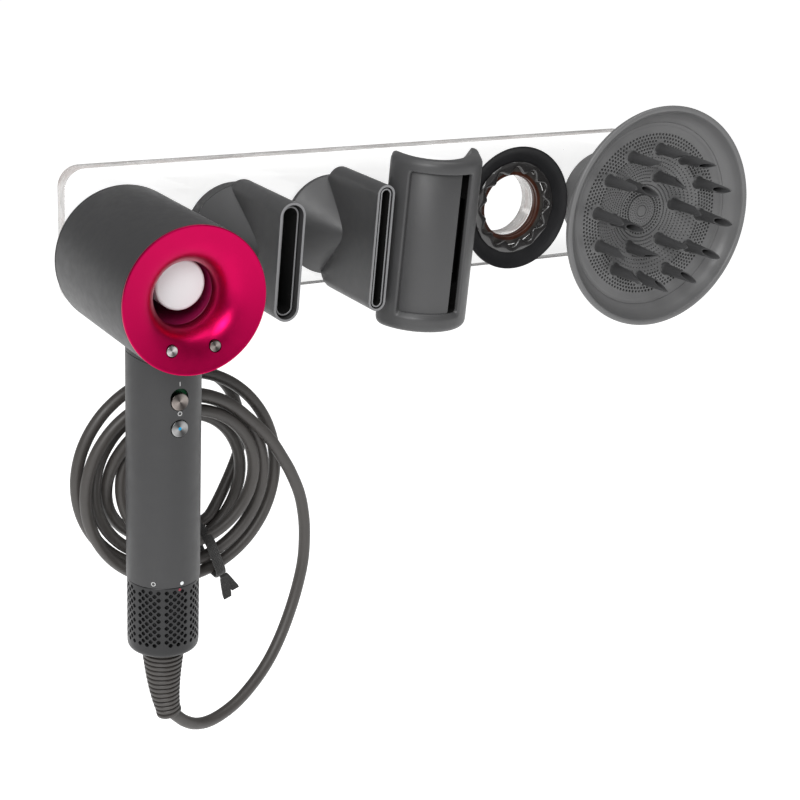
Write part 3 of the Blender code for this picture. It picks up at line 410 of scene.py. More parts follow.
def noise(tree, vector, scale, detail=3.0, roughness=0.5):
    values = {"Scale": scale, "Detail": detail, "Roughness": roughness}
    return add(tree, "TexNoise", {"Vector": vector}, values)["Fac"]


def shade(colour, share):
    return tuple(min(channel * share, 1) for channel in colour)


def ramp(tree, factor, stops):
    """A colour ramp through (position, colour) stops."""
    node = tree.nodes.new("ShaderNodeValToRGB")
    elements = node.color_ramp.elements
    while len(elements) < len(stops):
        elements.new(0.5)
    for element, (position, colour) in zip(elements, stops):
        element.position = position
        element.color = (*colour, 1)
    tree.links.new(factor, node.inputs["Fac"])
    return node.outputs["Color"]


def spread(tree, factor, low, high):
    """Maps a noise's middle range to a range of values."""
    values = {"From Min": 0.3, "From Max": 0.7, "To Min": low, "To Max": high}
    return add(tree, "MapRange", {"Value": factor}, values)["Result"]


def bump(tree, height, depth):
    """Relief of a depth in millimetres."""
    return add(tree, "Bump", {"Height": height}, {"Distance": depth * MM, "Strength": 1.0})["Normal"]


def blank(name):
    material = bpy.data.materials.new(name)
    material.use_nodes = True
    return material


def begin(name, stretch=(1, 1, 1)):
    """A new material, its nodes and the piece's own coordinates."""
    material = blank(name)
    return material, material.node_tree, coordinates(material.node_tree, stretch)


def dressed(material, links, values):
    """The material with its shader's inputs filled in."""
    tree = material.node_tree
    join(tree, tree.nodes["Principled BSDF"], links, values)
    return material


def coated(name, colour, roughness, metallic=0.0, grain=0.02, grain_scale=1500, mottle=0.08, **sockets):
    """Moulded or painted plastic, rubber or metal: mottled tone, uneven gloss and a fine grain."""
    material, tree, place = begin(name)
    stops = ((0.3, shade(colour, 1 - mottle)), (0.7, shade(colour, 1 + mottle)))
    values = {socket.replace("_", " "): value for socket, value in sockets.items()}
    return dressed(material, {
        "Base Color": ramp(tree, noise(tree, place, 45, 4), stops),
        "Roughness": spread(tree, noise(tree, place, 160, 5, 0.65), roughness - 0.04, roughness + 0.05),
        "Normal": bump(tree, noise(tree, place, grain_scale, 2), grain),
    }, {"Metallic": metallic, **values})


def spun_metal(name, colour, dot=None):
    """Metal turned on a lathe: rings round the piece's own axis, and rays of lighter and darker sheen painted
    into its colour.
    """
    material, tree, place = begin(name)
    split = add(tree, "SeparateXYZ", {"Vector": place})
    angle = maths(tree, "ARCTAN2", split["Y"], split["X"])
    rays = maths(tree, "SINE", maths(tree, "MULTIPLY_ADD", angle, 2.0, 0.6))
    painted_sheen = add(tree, "MapRange", {"Value": rays}, {"From Min": -1})["Result"]
    # Painted highlight and shade: the colour swings from a quarter to one and a half of the metal's own along
    # two pairs of rays.
    tone = ramp(tree, painted_sheen, ((0.0, shade(colour, 0.25)), (0.55, colour), (1.0, shade(colour, 1.5))))
    if dot:
        flat = add(tree, "Mapping", {"Vector": place}, {"Scale": (1, 1, 0)})["Vector"]
        from_axis = add(tree, "VectorMath", {0: flat}, operation="LENGTH")["Value"]
        links = {"Factor": maths(tree, "LESS_THAN", from_axis, DOT_RADIUS * MM), "A": tone}
        tone = add(tree, "Mix", links, {"B": (*dot, 1)}, data_type="RGBA")["Result"]
    rings = add(tree, "TexWave", {"Vector": place}, {"Scale": 900}, wave_type="RINGS", rings_direction="Z")
    return dressed(material, {
        "Base Color": tone,
        "Normal": bump(tree, rings["Fac"], 0.015),
        "Roughness": spread(tree, noise(tree, place, 700), 0.24, 0.34),
    }, {"Metallic": 1.0})


def acrylic(name, tint, roughness, transmission, scratches=0.004, bending=1.49):
    """Clear or frosted cast acrylic with faint waviness and dust."""
    material, tree, place = begin(name)
    dust = noise(tree, place, 90, 5, 0.7)
    return dressed(material, {
        "Base Color": ramp(tree, dust, ((0.35, shade(tint, 0.985)), (0.65, tint))),
        "Roughness": spread(tree, dust, roughness, roughness + 0.03),
        "Normal": bump(tree, noise(tree, place, 120, 2), scratches),
    }, {"Transmission Weight": transmission, "IOR": bending})


def cut_edge(name):
    """The plate's sawn and polished edge, coloured with pinkish-brown and grey streaks that run along it."""
    material, tree, place = begin(name, (1, 1, 6))
    stops = (
        (0.30, (0.36, 0.30, 0.28)), (0.42, (0.56, 0.54, 0.53)), (0.50, (0.80, 0.79, 0.78)),
        (0.58, (0.62, 0.56, 0.54)), (0.70, (0.86, 0.86, 0.86)),
    )
    return dressed(material, {
        "Base Color": ramp(tree, noise(tree, place, 38, 6, 0.7), stops),
        "Roughness": spread(tree, noise(tree, place, 220, 4), 0.12, 0.3),
        "Normal": bump(tree, noise(tree, coordinates(tree, (1, 1, 1)), 900, 2), 0.02),
    }, {"Transmission Weight": 0.35, "IOR": 1.49})


def woven_strap(name):
    """Hook-and-loop tape: short crossed ribs with a fuzzy face."""
    material, tree, place = begin(name)
    values = {"Scale": 320, "Distortion": 1.5}
    waves = [add(tree, "TexWave", {"Vector": place}, values, bands_direction=axis)["Fac"] for axis in "XYZ"]
    height = maths(tree, "MULTIPLY", maths(tree, "MULTIPLY", waves[0], waves[1]), waves[2])
    stops = ((0.3, (0.006, 0.006, 0.006)), (0.7, (0.025, 0.024, 0.023)))
    return dressed(material, {
        "Base Color": ramp(tree, noise(tree, place, 900, 4), stops),
        "Normal": bump(tree, height, 0.25),
    }, {"Roughness": 0.85, "Sheen Weight": 0.25})


DOT_RADIUS = 0.9
DUSK = (0.012, 0.012, 0.013)
MOULDED = {"mottle": 0.05, "grain": 0.012, "Specular_IOR_Level": 0.45}
CHARCOAL = coated("charcoal_satin", (0.044, 0.044, 0.045), 0.44, **MOULDED)
PALE = coated("diffuser_satin", (0.11, 0.11, 0.111), 0.42, **MOULDED)
SHELL = coated(
    "dryer_soft_paint", (0.026, 0.026, 0.027), 0.46, mottle=0.04, grain=0.010, Specular_IOR_Level=0.42,
)
# Painted highlight: a light grey put on the front rims of the nozzles and their linings.
PAINTED_RIM_HIGHLIGHT = coated("painted_rim_highlight", (0.16, 0.16, 0.165), 0.36, mottle=0.1, grain=0.012)
MAGENTA = coated("magenta_lacquer", (0.40, 0.001, 0.056), 0.34, metallic=0.95, mottle=0.03, grain=0.006)
# Painted shade: a darker, unlit copy of the magenta for the lining down the bore.
SHADED_MAGENTA = coated("magenta_bore_painted_shade", (0.20, 0.0, 0.045), 0.5, mottle=0.06)
DARK_METAL = coated("magnet_plate", (0.10, 0.095, 0.09), 0.35, metallic=0.6, mottle=0.12)
POLISHED = {"grain": 0.01, "grain_scale": 700}
GLOSS = coated("dark_gloss", (0.014, 0.014, 0.015), 0.16, mottle=0.15, Coat_Weight=0.3, **POLISHED)
WAVY_GLOSS = coated("wavy_gloss", (0.022, 0.021, 0.021), 0.22, metallic=0.1, Coat_Weight=0.5, **POLISHED)
DARK_SATIN = coated("dark_satin", DUSK, 0.36, mottle=0.1, grain=0.01, Specular_IOR_Level=0.35)
BROWN = coated("dock_brown", (0.045, 0.013, 0.006), 0.3, mottle=0.3, grain=0.015)
STEEL = coated("bright_steel", (0.56, 0.55, 0.54), 0.3, metallic=1.0, mottle=0.06)
MESH_STEEL = coated("mesh_steel", DUSK, 0.5, metallic=0.2, grain=0.12, grain_scale=2400)
RUBBER = coated("cord_rubber", (0.040, 0.036, 0.033), 0.46, mottle=0.12, grain=0.03, grain_scale=1100)
BOARD = coated("circuit_board", (0.015, 0.13, 0.05), 0.45, mottle=0.25, grain=0.05, grain_scale=500)
CERAMIC = coated("heater_ceramic", (0.62, 0.58, 0.5), 0.75, mottle=0.12, grain=0.06, grain_scale=600)
# Painted shade: near-black for hollows seen only through openings, in the nozzles, the barrel and the
# diffuser bowl.
PAINTED_SHADE = coated("painted_shade_hollow", (0.006, 0.006, 0.006), 0.8, mottle=0.2, Specular_IOR_Level=0.1)
MARK = coated("printed_mark", (0.42, 0.42, 0.42), 0.5, mottle=0.1)
WHITE_DOT = coated("white_dot", (0.62, 0.64, 0.65), 0.45)
RED_DOT = coated("red_dot", (0.18, 0.006, 0.02), 0.45, mottle=0.1)
CLEAR = acrylic("clear_acrylic", (0.91, 0.91, 0.908), 0.015, 1.0)
FROSTED = acrylic("frosted_acrylic", (0.86, 0.87, 0.88), 0.38, 0.25, 0.03)
PAD = acrylic("gel_pad", (0.99, 0.99, 0.99), 0.0, 1.0, 0.0, 1.02)
EDGE = cut_edge("acrylic_edge")
SPUN = spun_metal("spun_steel", (0.32, 0.30, 0.30))
SPUN_DARK = spun_metal("spun_dark_steel", (0.17, 0.15, 0.14))
SPUN_BLUE = spun_metal("spun_blue_dot", (0.2, 0.2, 0.2), (0.02, 0.25, 0.45))
STRAP = woven_strap("strap_fabric")


# The cord

CORD_DIAMETER = 7.0
COIL_CENTRE = Vector((-138, -45, -137))
RELIEF_TOP, RELIEF_BOTTOM, RELIEF_SWING = -214.0, -257.0, 3.8
RELIEF_POST_TOP = -165.2
RELIEF_RIBS = 14
# One rib: shares of the pitch, and how far each stands proud
RIB = ((0.05, -0.75), (0.2, 0.1), (0.32, 0.45), (0.75, 0.45), (0.88, 0.1), (0.96, -0.75))
PLUG_TOP = (-151.3, -21.6, -126.4)
PIN_SPACING = 12.7
LEAD = (
    (-163.1, -88.4, -254.6), (-160.6, -88.2, -258.3), (-157, -87.7, -262.1), (-152.3, -86.8, -266.5),
    (-143.3, -83.8, -271.8), (-131, -79.5, -273.7), (-115.1, -74, -270.4), (-101, -69, -262.5),
    (-89.6, -64.5, -253.2), (-80.1, -60.5, -241.5), (-72.3, -57.5, -227.2), (-66.2, -55, -212.3),
    (-62.2, -53.5, -196.5), (-61.4, -53, -179.9), (-62.7, -53, -166.2), (-66, -53.5, -152.9),
    (-72.3, -54.3, -138.8), (-78.5, -55, -128.2), (-87.4, -55.5, -114.8),
)
TAIL = (
    (-93, -26.3, -133), (-92.5, -25.8, -113), (-97.5, -24.8, -95), (-108, -23.8, -83.5),
    (-122, -23, -79.5), (-136, -22.5, -83.5), (-146.5, -22, -94.5), (-151, -21.7, -110),
    (-151.3, -21.6, -126),
)
# The winding, every quarter turn from 45 degrees: its radius, and how far it lies before the coil's middle
WINDING = (
    (52, 10.5), (59.5, 8.5), (58, 5), (59.5, 1),
    (62.5, -5.5), (63.5, -4), (56, -4), (50, 3),
    (51, 4), (52.5, 1), (48.5, -3), (41.5, -6),
    (40, -6), (37, -2), (36, 5), (36, 10),
    (44.5, 10.5), (45.5, 6), (41, -10.5), (36, -10),
)


def between(points, share):
    """A point on the smooth curve through points, where share counts them from 0."""
    index = min(max(int(share), 0), len(points) - 2)
    t = share - index
    before = points[max(index - 1, 0)]
    start, end = points[index], points[index + 1]
    after = points[min(index + 2, len(points) - 1)]
    bend = (2 * before - 5 * start + 4 * end - after) * t * t
    twist = (3 * start - before - 3 * end + after) * t ** 3
    return (2 * start + (end - before) * t + bend + twist) / 2


def coil_points():
    """The loose turns, wound anticlockwise as seen from the front."""
    quarters = [Vector(quarter) for quarter in WINDING]
    steps = 5
    points = []
    for step in range(steps * (len(quarters) - 1) + 1):
        radius, front = between(quarters, step / steps)
        angle = radians(45 + 90 * step / steps)
        points.append(COIL_CENTRE + Vector((radius * cos(angle), -front, radius * sin(angle))))
    return points


def even_route(points, spacing):
    """Evenly spaced points along the smooth curve through points."""
    dense = [between(points, step / 16) for step in range(16 * (len(points) - 1))] + [points[-1]]
    route = [dense[0]]
    for point in dense[1:]:
        while (point - route[-1]).length >= spacing:
            route.append(route[-1] + (point - route[-1]).normalized() * spacing)
    return route + [dense[-1]]


def swept(route, radius, sides=14):
    """A round tube along a route, with flat ends."""
    bm = bmesh.new()
    side = Vector((1, 0, 0))
    rings = []
    last = len(route) - 1
    for index, at in enumerate(route):
        ahead = (route[min(index + 1, last)] - route[max(index - 1, 0)]).normalized()
        side = (side - ahead * side.dot(ahead)).normalized()
        other = ahead.cross(side)
        around = [cos(angle) * side + sin(angle) * other for angle in round_angles(sides)]
        rings.append([bm.verts.new(at + radius * out) for out in around])
    capped(bm, rings)
    return bm


def make_relief():
    """A ribbed sleeve that narrows and bends towards the cord, on a post inside the handle."""
    top, bottom = RELIEF_TOP, RELIEF_BOTTOM
    length = top - bottom
    pitch = (length - 2.4) / RELIEF_RIBS
    rings = [(3.8, bottom + 0.3), (6.7, bottom), (7.1, bottom + 0.4), (7.1, bottom + 1.7)]
    for rib in range(RELIEF_RIBS):
        low = bottom + 2.2 + pitch * rib
        radius = 6.4 + 5.2 * (rib + 0.5) / RELIEF_RIBS
        rings += [(radius + proud, low + edge * pitch) for edge, proud in RIB]
    rings += [(12.3, top), (12.5, top + 0.4), (12.5, top + 1.2), (12.2, top + 1.5)]
    rings += [(7.0, top + 2.0), (7.0, RELIEF_POST_TOP)]
    outlines = []
    for radius, height in rings:
        share = max((top - height) / length, 0.0)
        lean = Matrix.Rotation(-atan(3 * RELIEF_SWING * share ** 2 / length), 4, "Y")
        place = Matrix.Translation((RELIEF_SWING * share ** 3, 0, height)) @ lean
        outlines.append([place @ point for point in circle(radius, 0.0)])
    finish = (RUBBER, "dryer", ["strain_relief"], "cord_rubber")
    return piece("strain_relief_sleeve", lofted(outlines), HANDLE_AXIS, *finish)


def make_plug():
    """A flat two-pin plug with a ribbed grip, hanging behind the coil."""
    place = station(PLUG_TOP, tilt=180)
    sections = [(0, 3.9, 3.9), (1, 4.3, 4.3), (9, 4.9, 4.5), (11, 5.4, 4.7), (13.5, 9.2, 6)]
    sections += [(16, 10.8, 6.5)]
    for groove in range(4):
        depth = 20 + groove * 4.5
        sections += [(depth, 11, 6.6), (depth + 0.8, 10.5, 6.1)]
        sections += [(depth + 1.8, 10.5, 6.1), (depth + 2.6, 11, 6.6)]
    sections += [(41, 11, 6.6), (43, 10.6, 6.2), (44, 9.6, 5.4)]
    outlines = []
    for depth, half_width, half_thick in sections:
        ring = rounded_rectangle(2 * half_width, 2 * half_thick, 0.7 * half_thick, 6)
        outlines.append([Vector((point.x, point.y, depth)) for point in ring])
    plug = piece("plug_body", lofted(outlines), place, RUBBER, "holder", ["cord_plug"], "cord_rubber")
    pins = bmesh.new()
    ring = rounded_rectangle(1.5, 6.3, 0.6, 3)
    levels = ((43.5, 1.0), (58.5, 1.0), (59.6, 0.75), (60, 0.4))
    for side in (-PIN_SPACING / 2, PIN_SPACING / 2):
        capped(pins, [
            [pins.verts.new((side + p.x * size, p.y * size, depth)) for p in ring] for depth, size in levels
        ])
    return [plug, piece("plug_pins", pins, place, STEEL, "holder", slot="steel")]


def make_tie():
    """A hook-and-loop strap round the coil, with two short ends standing off."""
    inner, outer, depth, thick, half_band = 31.6, 63.0, 14.2, 1.0, 3.0
    place = station(COIL_CENTRE, roll=-70)
    middle_radius = (inner + outer) / 2
    bm = bmesh.new()
    rings = []
    for size, order in ((0.0, (1, 0.8, -0.8, -1)), (thick, (-1, -0.8, 0.8, 1))):
        for side in order:
            edge = 0.3 if abs(side) == 1 else 0.0
            grow = size + (edge if size == 0 else -edge)
            outline = rounded_rectangle(outer - inner + 2 * grow, 2 * (depth + grow), 9 + grow)
            rings.append([bm.verts.new((middle_radius + p.x, half_band * side, p.y)) for p in outline])
    skin(bm, rings, closed=True)
    pieces = [piece("strap_loop", bm, place, STRAP, "holder", ["cord_tie"], "strap_fabric")]
    for number, (lift, reach, lean) in enumerate(((0.3, 11, 0.3), (1.6, 13, -0.25)), 1):
        bm = bmesh.new()
        sections = []
        for step in range(9):
            t = step / 8
            x = outer - 4 + reach * t
            y = lean * reach * t
            z = depth + thick + lift + 2.2 * t * t
            half = 2.7 if 0 < step < 8 else 2.3
            corners = ((x, y - half, z), (x, y + half, z), (x, y + half, z + 1.0), (x, y - half, z + 1.0))
            sections.append([bm.verts.new(corner) for corner in corners])
        capped(bm, sections)
        pieces.append(piece(f"strap_end_{number}", bm, place, STRAP, "holder", slot="strap_fabric"))
    return pieces


def make_cord():
    """One cord: its lead, the loose turns and the tail, ending in the plug."""
    route = even_route([Vector(p) for p in LEAD] + coil_points() + [Vector(p) for p in TAIL], 3.4)
    obj = raw("power_cord", swept(route, CORD_DIAMETER / 2), WORLD)
    with_pieces = [make_relief(), *make_plug(), *make_tie()]
    crease(obj)
    obj.data.materials.append(RUBBER)
    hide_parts("cord_coil", "cord_lead", "cord_tail")
    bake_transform(obj)


# The holder

PLATE_CORNER = 12
HOLE_RADIUS = 19.0
ROD_RADIUS = 13.7
ROD_LENGTH = 97.7
HOOK_X = -139


def make_plate():
    """The acrylic plate, its five holes and the rod's screw hole, with the cut faces as a second material."""
    size = plate_high - plate_low
    place = station((0, PLATE_FRONT, 0))
    outline = rounded_rectangle(size.x, size.z, PLATE_CORNER, 16)
    plate = raw("acrylic_plate", prism(outline, -PLATE_THICKNESS, 0), place)
    for dock in DOCKS:
        shape_with(plate, turned(bar(HOLE_RADIUS, -2 * PLATE_THICKNESS, PLATE_THICKNESS)), dock)
    back = -PLATE_THICKNESS
    screw = [(0, back - 1), (6.2, back - 1), (5.2, back), (2.7, back + 2.5), (2.7, 1), (0, 1)]
    shape_with(plate, turned(screw, 48), ROD_DOCK)
    soften(plate, 0.5)
    finish_piece(plate, CLEAR, "holder", ["wall_plate"], "clear_acrylic")
    plate.data.materials.append(EDGE)
    for face in plate.data.polygons:
        if abs(face.normal.z) < 0.6:
            face.material_index = 1


def make_dock_rings():
    profile = [
        (19, 0.3, 0.4), (25, 0.3, 0.3), (25, 3.3, 0.6), (23.7, 3.3, 0.25), (23.3, 2.9, 0.2),
        (20.7, 2.9, 0.2), (20.3, 3.3, 0.25), (19, 3.3, 0.5),
    ]
    for number, dock in enumerate(DOCKS, 1):
        finish = (BROWN, "holder", [f"dock_ring_{number}"], "dock_brown")
        piece(f"dock_collar_{number}", turned(profile), dock, *finish)


def make_rod():
    profile = [
        (2.7, GAP), (ROD_RADIUS, GAP, 0.3), (ROD_RADIUS, ROD_LENGTH, 1.8),
        (0, ROD_LENGTH), (0, 15), (2.7, 14),
    ]
    piece("frosted_rod", turned(profile), ROD_DOCK, FROSTED, "holder", ["dryer_rod"], "frosted_acrylic")
    collar = turned(tube(ROD_RADIUS + GAP, 20, GAP, 19, 1.2))
    piece("rod_collar", collar, ROD_DOCK, FROSTED, "holder", ["rod_base"], "frosted_acrylic")


def make_hook():
    """A bent strip: down the plate's front, out through the coil, and a short upturned tip."""
    back = PLATE_FRONT - GAP
    thick, half_width = 4, 4
    top, arm_top, tip = -14, -105.8, -64.5
    arm_low = arm_top - thick
    side = rounded([
        (back, top, 1), (back, arm_low, 7), (tip, arm_low, 7), (tip, arm_top + 7, 1.5),
        (tip + thick, arm_top + 7, 1.5), (tip + thick, arm_top, 3), (back - thick, arm_top, 3),
        (back - thick, top, 1),
    ], steps=8)
    outlines = [[Vector((across, p.x, p.y)) for p in side] for across in (-half_width, half_width)]
    hook = raw("clear_hook", lofted(outlines), shift(HOOK_X, 0, 0))
    soften(hook, 0.5, angle=60)
    finish_piece(hook, CLEAR, "holder", ["cord_hook"], "clear_acrylic")


# The dryer

HEAD_RADIUS = 39.0
HEAD_BACK, HEAD_FRONT = 20.0, 117.0
BORE = 17.5
HANDLE_RADIUS = 20.0
HANDLE_BOTTOM, CAGE_BOTTOM = -171.0, -213.0
SEAM_RADIUS = 41.7
CONTROL_YAW = 2.0
SWITCH_HEIGHT, COOL_SHOT_HEIGHT = -64.9, -79.7
BUTTON_CIRCLE, BUTTON_ANGLE = 28.0, 25
BUTTON_RADIUS, BUTTON_DEPTH = 3.0, 6.6
CONTROLS = station((DRYER_X, HANDLE_Y, 0), yaw=CONTROL_YAW)


def drum(radius, low, high):
    return turned(bar(radius, low, high, 0))


def make_head():
    """The head's cover with its neck, which ends on a drum round the head's own axis."""
    head = raw("head_cover", turned(bar(HEAD_RADIUS, HEAD_BACK + 2.5, HEAD_FRONT - 2.2, 0.5)), DRYER_AXIS)
    shape_with(head, drum(HANDLE_RADIUS, -60, DRYER_AXIS_HEIGHT), HANDLE_AXIS, "UNION")
    shape_with(head, drum(SEAM_RADIUS - GAP / 2, 0, 130), DRYER_AXIS, "INTERSECT")
    shape_with(head, drum(HEAD_RADIUS - 2, 0, 130), DRYER_AXIS)
    shape_with(head, drum(HANDLE_RADIUS - 2, -70, DRYER_AXIS_HEIGHT - 20), HANDLE_AXIS)
    finish_piece(head, SHELL, "dryer", ["head_shell"], angle=25)


def flare_profile():
    """The bezel's lip and the funnel down to the bore."""
    lip = HEAD_RADIUS - 2
    end = HEAD_FRONT - 20
    steps = 28
    front, back = [], []
    for step in range(steps + 1):
        share = step / steps
        radius = lip + (BORE - lip) * share
        depth = HEAD_FRONT - 0.5 - 4 * share - 9 * share ** 5
        front.append((radius, depth))
        if radius + 1.2 < HEAD_RADIUS - 2 - GAP:
            back.append((radius + 1.2, depth - 1.6))
    seat = HEAD_FRONT - 1.9
    edge = [(HEAD_RADIUS - 2.3, seat), (HEAD_RADIUS, seat, 0.3), (HEAD_RADIUS, HEAD_FRONT, 0.9)]
    return edge + front + [(BORE, end), (BORE + 1.5, end)] + back[::-1]


def button_station(angle, depth=0.0):
    turn = radians(angle)
    return DRYER_AXIS @ shift(BUTTON_CIRCLE * sin(turn), -BUTTON_CIRCLE * cos(turn), depth)


def make_flare():
    bezel = raw("magenta_bezel", turned(flare_profile(), 128), DRYER_AXIS)
    for angle in (-BUTTON_ANGLE, BUTTON_ANGLE):
        shape_with(bezel, turned(bar(BUTTON_RADIUS + GAP, 100, 120), 48), button_station(angle))
    finish_piece(bezel, MAGENTA, "dryer", ["flare_bezel"], "magenta_plastic", 30)
    button = [
        (0, -BUTTON_DEPTH), (BUTTON_RADIUS, -BUTTON_DEPTH), (BUTTON_RADIUS, 0, 0.5),
        (BUTTON_RADIUS - 0.9, -0.05), (0, -0.25),
    ]
    for name, angle, body, look in (
        ("speed_button", -BUTTON_ANGLE, "speed_key", SPUN),
        ("heat_button", BUTTON_ANGLE, "heat_key", SPUN_DARK),
    ):
        place = button_station(angle, HEAD_FRONT - 1.9)
        piece(f"{name}_cap", turned(button, 48), place, look, body, [name], "steel")
    # The bore's lining wears the darker magenta as painted shade.
    liner = turned(tube(BORE, BORE + 1.5, HEAD_BACK + GAP, HEAD_FRONT - 20 - GAP))
    piece("bore_lining", liner, DRYER_AXIS, SHADED_MAGENTA, "dryer", ["bore_liner"], "magenta_plastic")


def make_outlet():
    inner = HEAD_RADIUS - 2
    ring = [
        (31, HEAD_BACK, 0.4), (HEAD_RADIUS, HEAD_BACK, 1.6), (HEAD_RADIUS, HEAD_BACK + 2.2, 0.2),
        (inner - GAP, HEAD_BACK + 2.2), (inner - GAP, HEAD_BACK + 8), (inner - 2, HEAD_BACK + 8),
    ]
    piece("outlet_rim", turned(ring), DRYER_AXIS, SHELL, "dryer", ["outlet_ring"])
    magnet = turned(tube(BORE + 1.8, 29, HEAD_BACK, HEAD_BACK + 5, 0.6))
    piece("outlet_collar", magnet, DRYER_AXIS, DARK_METAL, "dryer", ["outlet_magnet"], "magnet_metal")


def on_handle(x, y, angle, height, radius):
    """A point of a flat drawing wrapped on the handle, at an angle from its front towards +X."""
    turn = radians(angle) + x / radius
    return Vector((radius * sin(turn), -radius * cos(turn), height + y))


def make_mark(name, outline, hole, angle, height, look, body, radius=HANDLE_RADIUS):
    """A printed mark, as a thin plate on the round surface."""
    low, high = radius + 0.01, radius + 0.07

    def layer(points, depth):
        return [on_handle(point[0], point[1], angle, height, depth) for point in points]

    layers = [layer(outline, low), layer(outline, high)]
    if hole:
        layers += [layer(hole, high), layer(hole, low)]
    piece(name, lofted(layers, closed=bool(hole)), HANDLE_AXIS, look, body)


def make_handle():
    inner = HANDLE_RADIUS - 2
    wall = tube(inner, HANDLE_RADIUS, HANDLE_BOTTOM + GAP, -25, 0.35)
    handle = raw("handle_cover", turned(wall), HANDLE_AXIS)
    shape_with(handle, drum(SEAM_RADIUS + GAP / 2, 0, 130), DRYER_AXIS)
    slot = lofted([stadium(6.2, 5.1, inner - 5), stadium(6.2, 5.1, HANDLE_RADIUS + 5)])
    shape_with(handle, slot, CONTROLS @ shift(0, SWITCH_HEIGHT + 1.1, 0))
    cool_shot = turned(bar(5.0, inner - 5, HANDLE_RADIUS + 5), 48)
    shape_with(handle, cool_shot, CONTROLS @ shift(0, COOL_SHOT_HEIGHT, 0))
    finish_piece(handle, SHELL, "dryer", ["handle_shell"], angle=30)
    for name, height, radius, body, look in (
        ("power_switch", SWITCH_HEIGHT, 4.8, "power_slider", SPUN_DARK),
        ("cool_shot_button", COOL_SHOT_HEIGHT, 4.7, "cool_shot_key", SPUN_BLUE),
    ):
        disc = [(0, -3.9), (radius, -3.9), (radius, 0, 0.5), (radius - 0.8, 0.05), (0, -0.25)]
        place = CONTROLS @ shift(0, height, HANDLE_RADIUS + 0.4)
        piece(f"{name}_disc", turned(disc, 64), place, look, body, [name], "steel")
    small = circle(1.25, 0, 32)
    smaller = circle(0.85, 0, 32)
    bar_mark = rounded_rectangle(0.5, 2.4, 0.2, 3)
    make_mark("mark_on", bar_mark, None, 2, -55.1, MARK, "dryer")
    make_mark("mark_off", small, smaller, 2, -71.4, MARK, "dryer")
    make_mark("mark_open", small, smaller, -38.2, -168.1, MARK, "dryer")
    make_mark("mark_shut", circle(1.05, 0, 32), None, 7, -168.6, WHITE_DOT, "dryer")
    red = circle(0.8, 0, 24)
    make_mark("mark_filter", red, None, 3.8, -172.3, RED_DOT, "filter_outer", HANDLE_RADIUS - 0.4)


def lattice(bm, columns, rows, place, is_open, hole):
    """A sheet of diamond cells round an axis, with two faces and a hole through each open cell.

    Columns wrap round, and place(column, row, face) gives a point. Returns, for each face, its first and
    its last ring of vertices.
    """
    made = {}

    def vertex(column, row, face):
        key = (round(column * 1000) % (columns * 1000), round(row * 1000), face)
        if key not in made:
            made[key] = bm.verts.new(place(column, row, face))
        return made[key]

    diamond = ((1, 0), (0.5, 0.5), (0, 1), (-0.5, 0.5), (-1, 0), (-0.5, -0.5), (0, -1), (0.5, -0.5))
    first_half = (*diamond[:5], (0, 0))
    last_half = (*diamond[4:], (1, 0), (0, 0))
    for column in range(columns):
        for row in range(-1, rows + 1):
            if (column + row) % 2:
                continue
            shape = first_half if row == -1 else last_half if row == rows else diamond
            openings = []
            for face in (0, 1):
                ring = [vertex(column + x, row + y, face) for x, y in shape]
                if shape is not diamond or not is_open(column, row):
                    bm.faces.new(ring)
                    continue
                opening = [vertex(column + x, row + y, face) for x, y in hole(row)]
                openings.append(opening)
                for side in range(8):
                    inside = [opening[(2 * side + step) % 16] for step in (2, 1, 0)]
                    bm.faces.new((ring[side], ring[(side + 1) % 8], *inside))
            if openings:
                skin(bm, openings)
    return [
        [[vertex(column, row, face) for column in range(columns)] for row in (-1, rows)] for face in (0, 1)
    ]


def diamond_hole(half_width, half_height, power):
    """Sixteen points between a diamond (power 1) and an oval (power 2)."""
    points = []
    for step in range(16):
        angle = tau * step / 16
        across, along = cos(angle), sin(angle)
        size = (abs(across) ** power + abs(along) ** power) ** (-1 / power)
        points.append((half_width * size * across, half_height * size * along))
    return points


CAGE_COLUMNS = 56
CAGE_OFFSET = 3.3
CAGE_ROWS = 16
CAGE_FIRST_ROW = -173.6
CAGE_PITCH = 2.1
SOLID_EVERY = 7


def make_cage():
    """The filter's cover: bands of diamond holes between solid bars, on a plain turned foot."""
    radii = (HANDLE_RADIUS - 0.4, HANDLE_RADIUS - 1.7)
    bm = bmesh.new()

    def at_column(column, radius, height):
        turn = tau * (column + CAGE_OFFSET) / CAGE_COLUMNS
        return Vector((radius * sin(turn), -radius * cos(turn), height))

    def ring(radius, height):
        return [bm.verts.new(at_column(column, radius, height)) for column in range(CAGE_COLUMNS)]

    def place(column, row, face):
        return at_column(column, radii[face], CAGE_FIRST_ROW - CAGE_PITCH * row)

    def is_open(column, row):
        return column % SOLID_EVERY != 0

    opening = diamond_hole(0.56, 0.6, 1.6)
    (outer_top, outer_low), (inner_top, inner_low) = lattice(
        bm, CAGE_COLUMNS, CAGE_ROWS, place, is_open, lambda row: opening,
    )

    outer, inner = radii
    top = [(outer, -171.3), (outer - 0.25, HANDLE_BOTTOM), (inner + 0.25, HANDLE_BOTTOM), (inner, -171.3)]
    skin(bm, [outer_top, *(ring(radius, height) for radius, height in top), inner_top])
    foot = rounded([
        (outer, -208), (outer, CAGE_BOTTOM, 3.6), (13.4, CAGE_BOTTOM, 0.5), (13.4, CAGE_BOTTOM + 1.9, 0.3),
        (inner, CAGE_BOTTOM + 1.9, 0.3), (inner, -208),
    ], steps=6)
    skin(bm, [outer_low, *(ring(point.x, point.y) for point in foot), inner_low])
    piece("cage_cover", bm, HANDLE_AXIS, DARK_SATIN, "filter_outer", ["filter_cage"], angle=40)
    sleeve = turned(tube(15.8, 16.8, CAGE_BOTTOM + 3, HANDLE_BOTTOM - 1, 0.3))
    piece("fine_mesh_sleeve", sleeve, HANDLE_AXIS, MESH_STEEL, "filter_inner", ["filter_sleeve"], "steel")


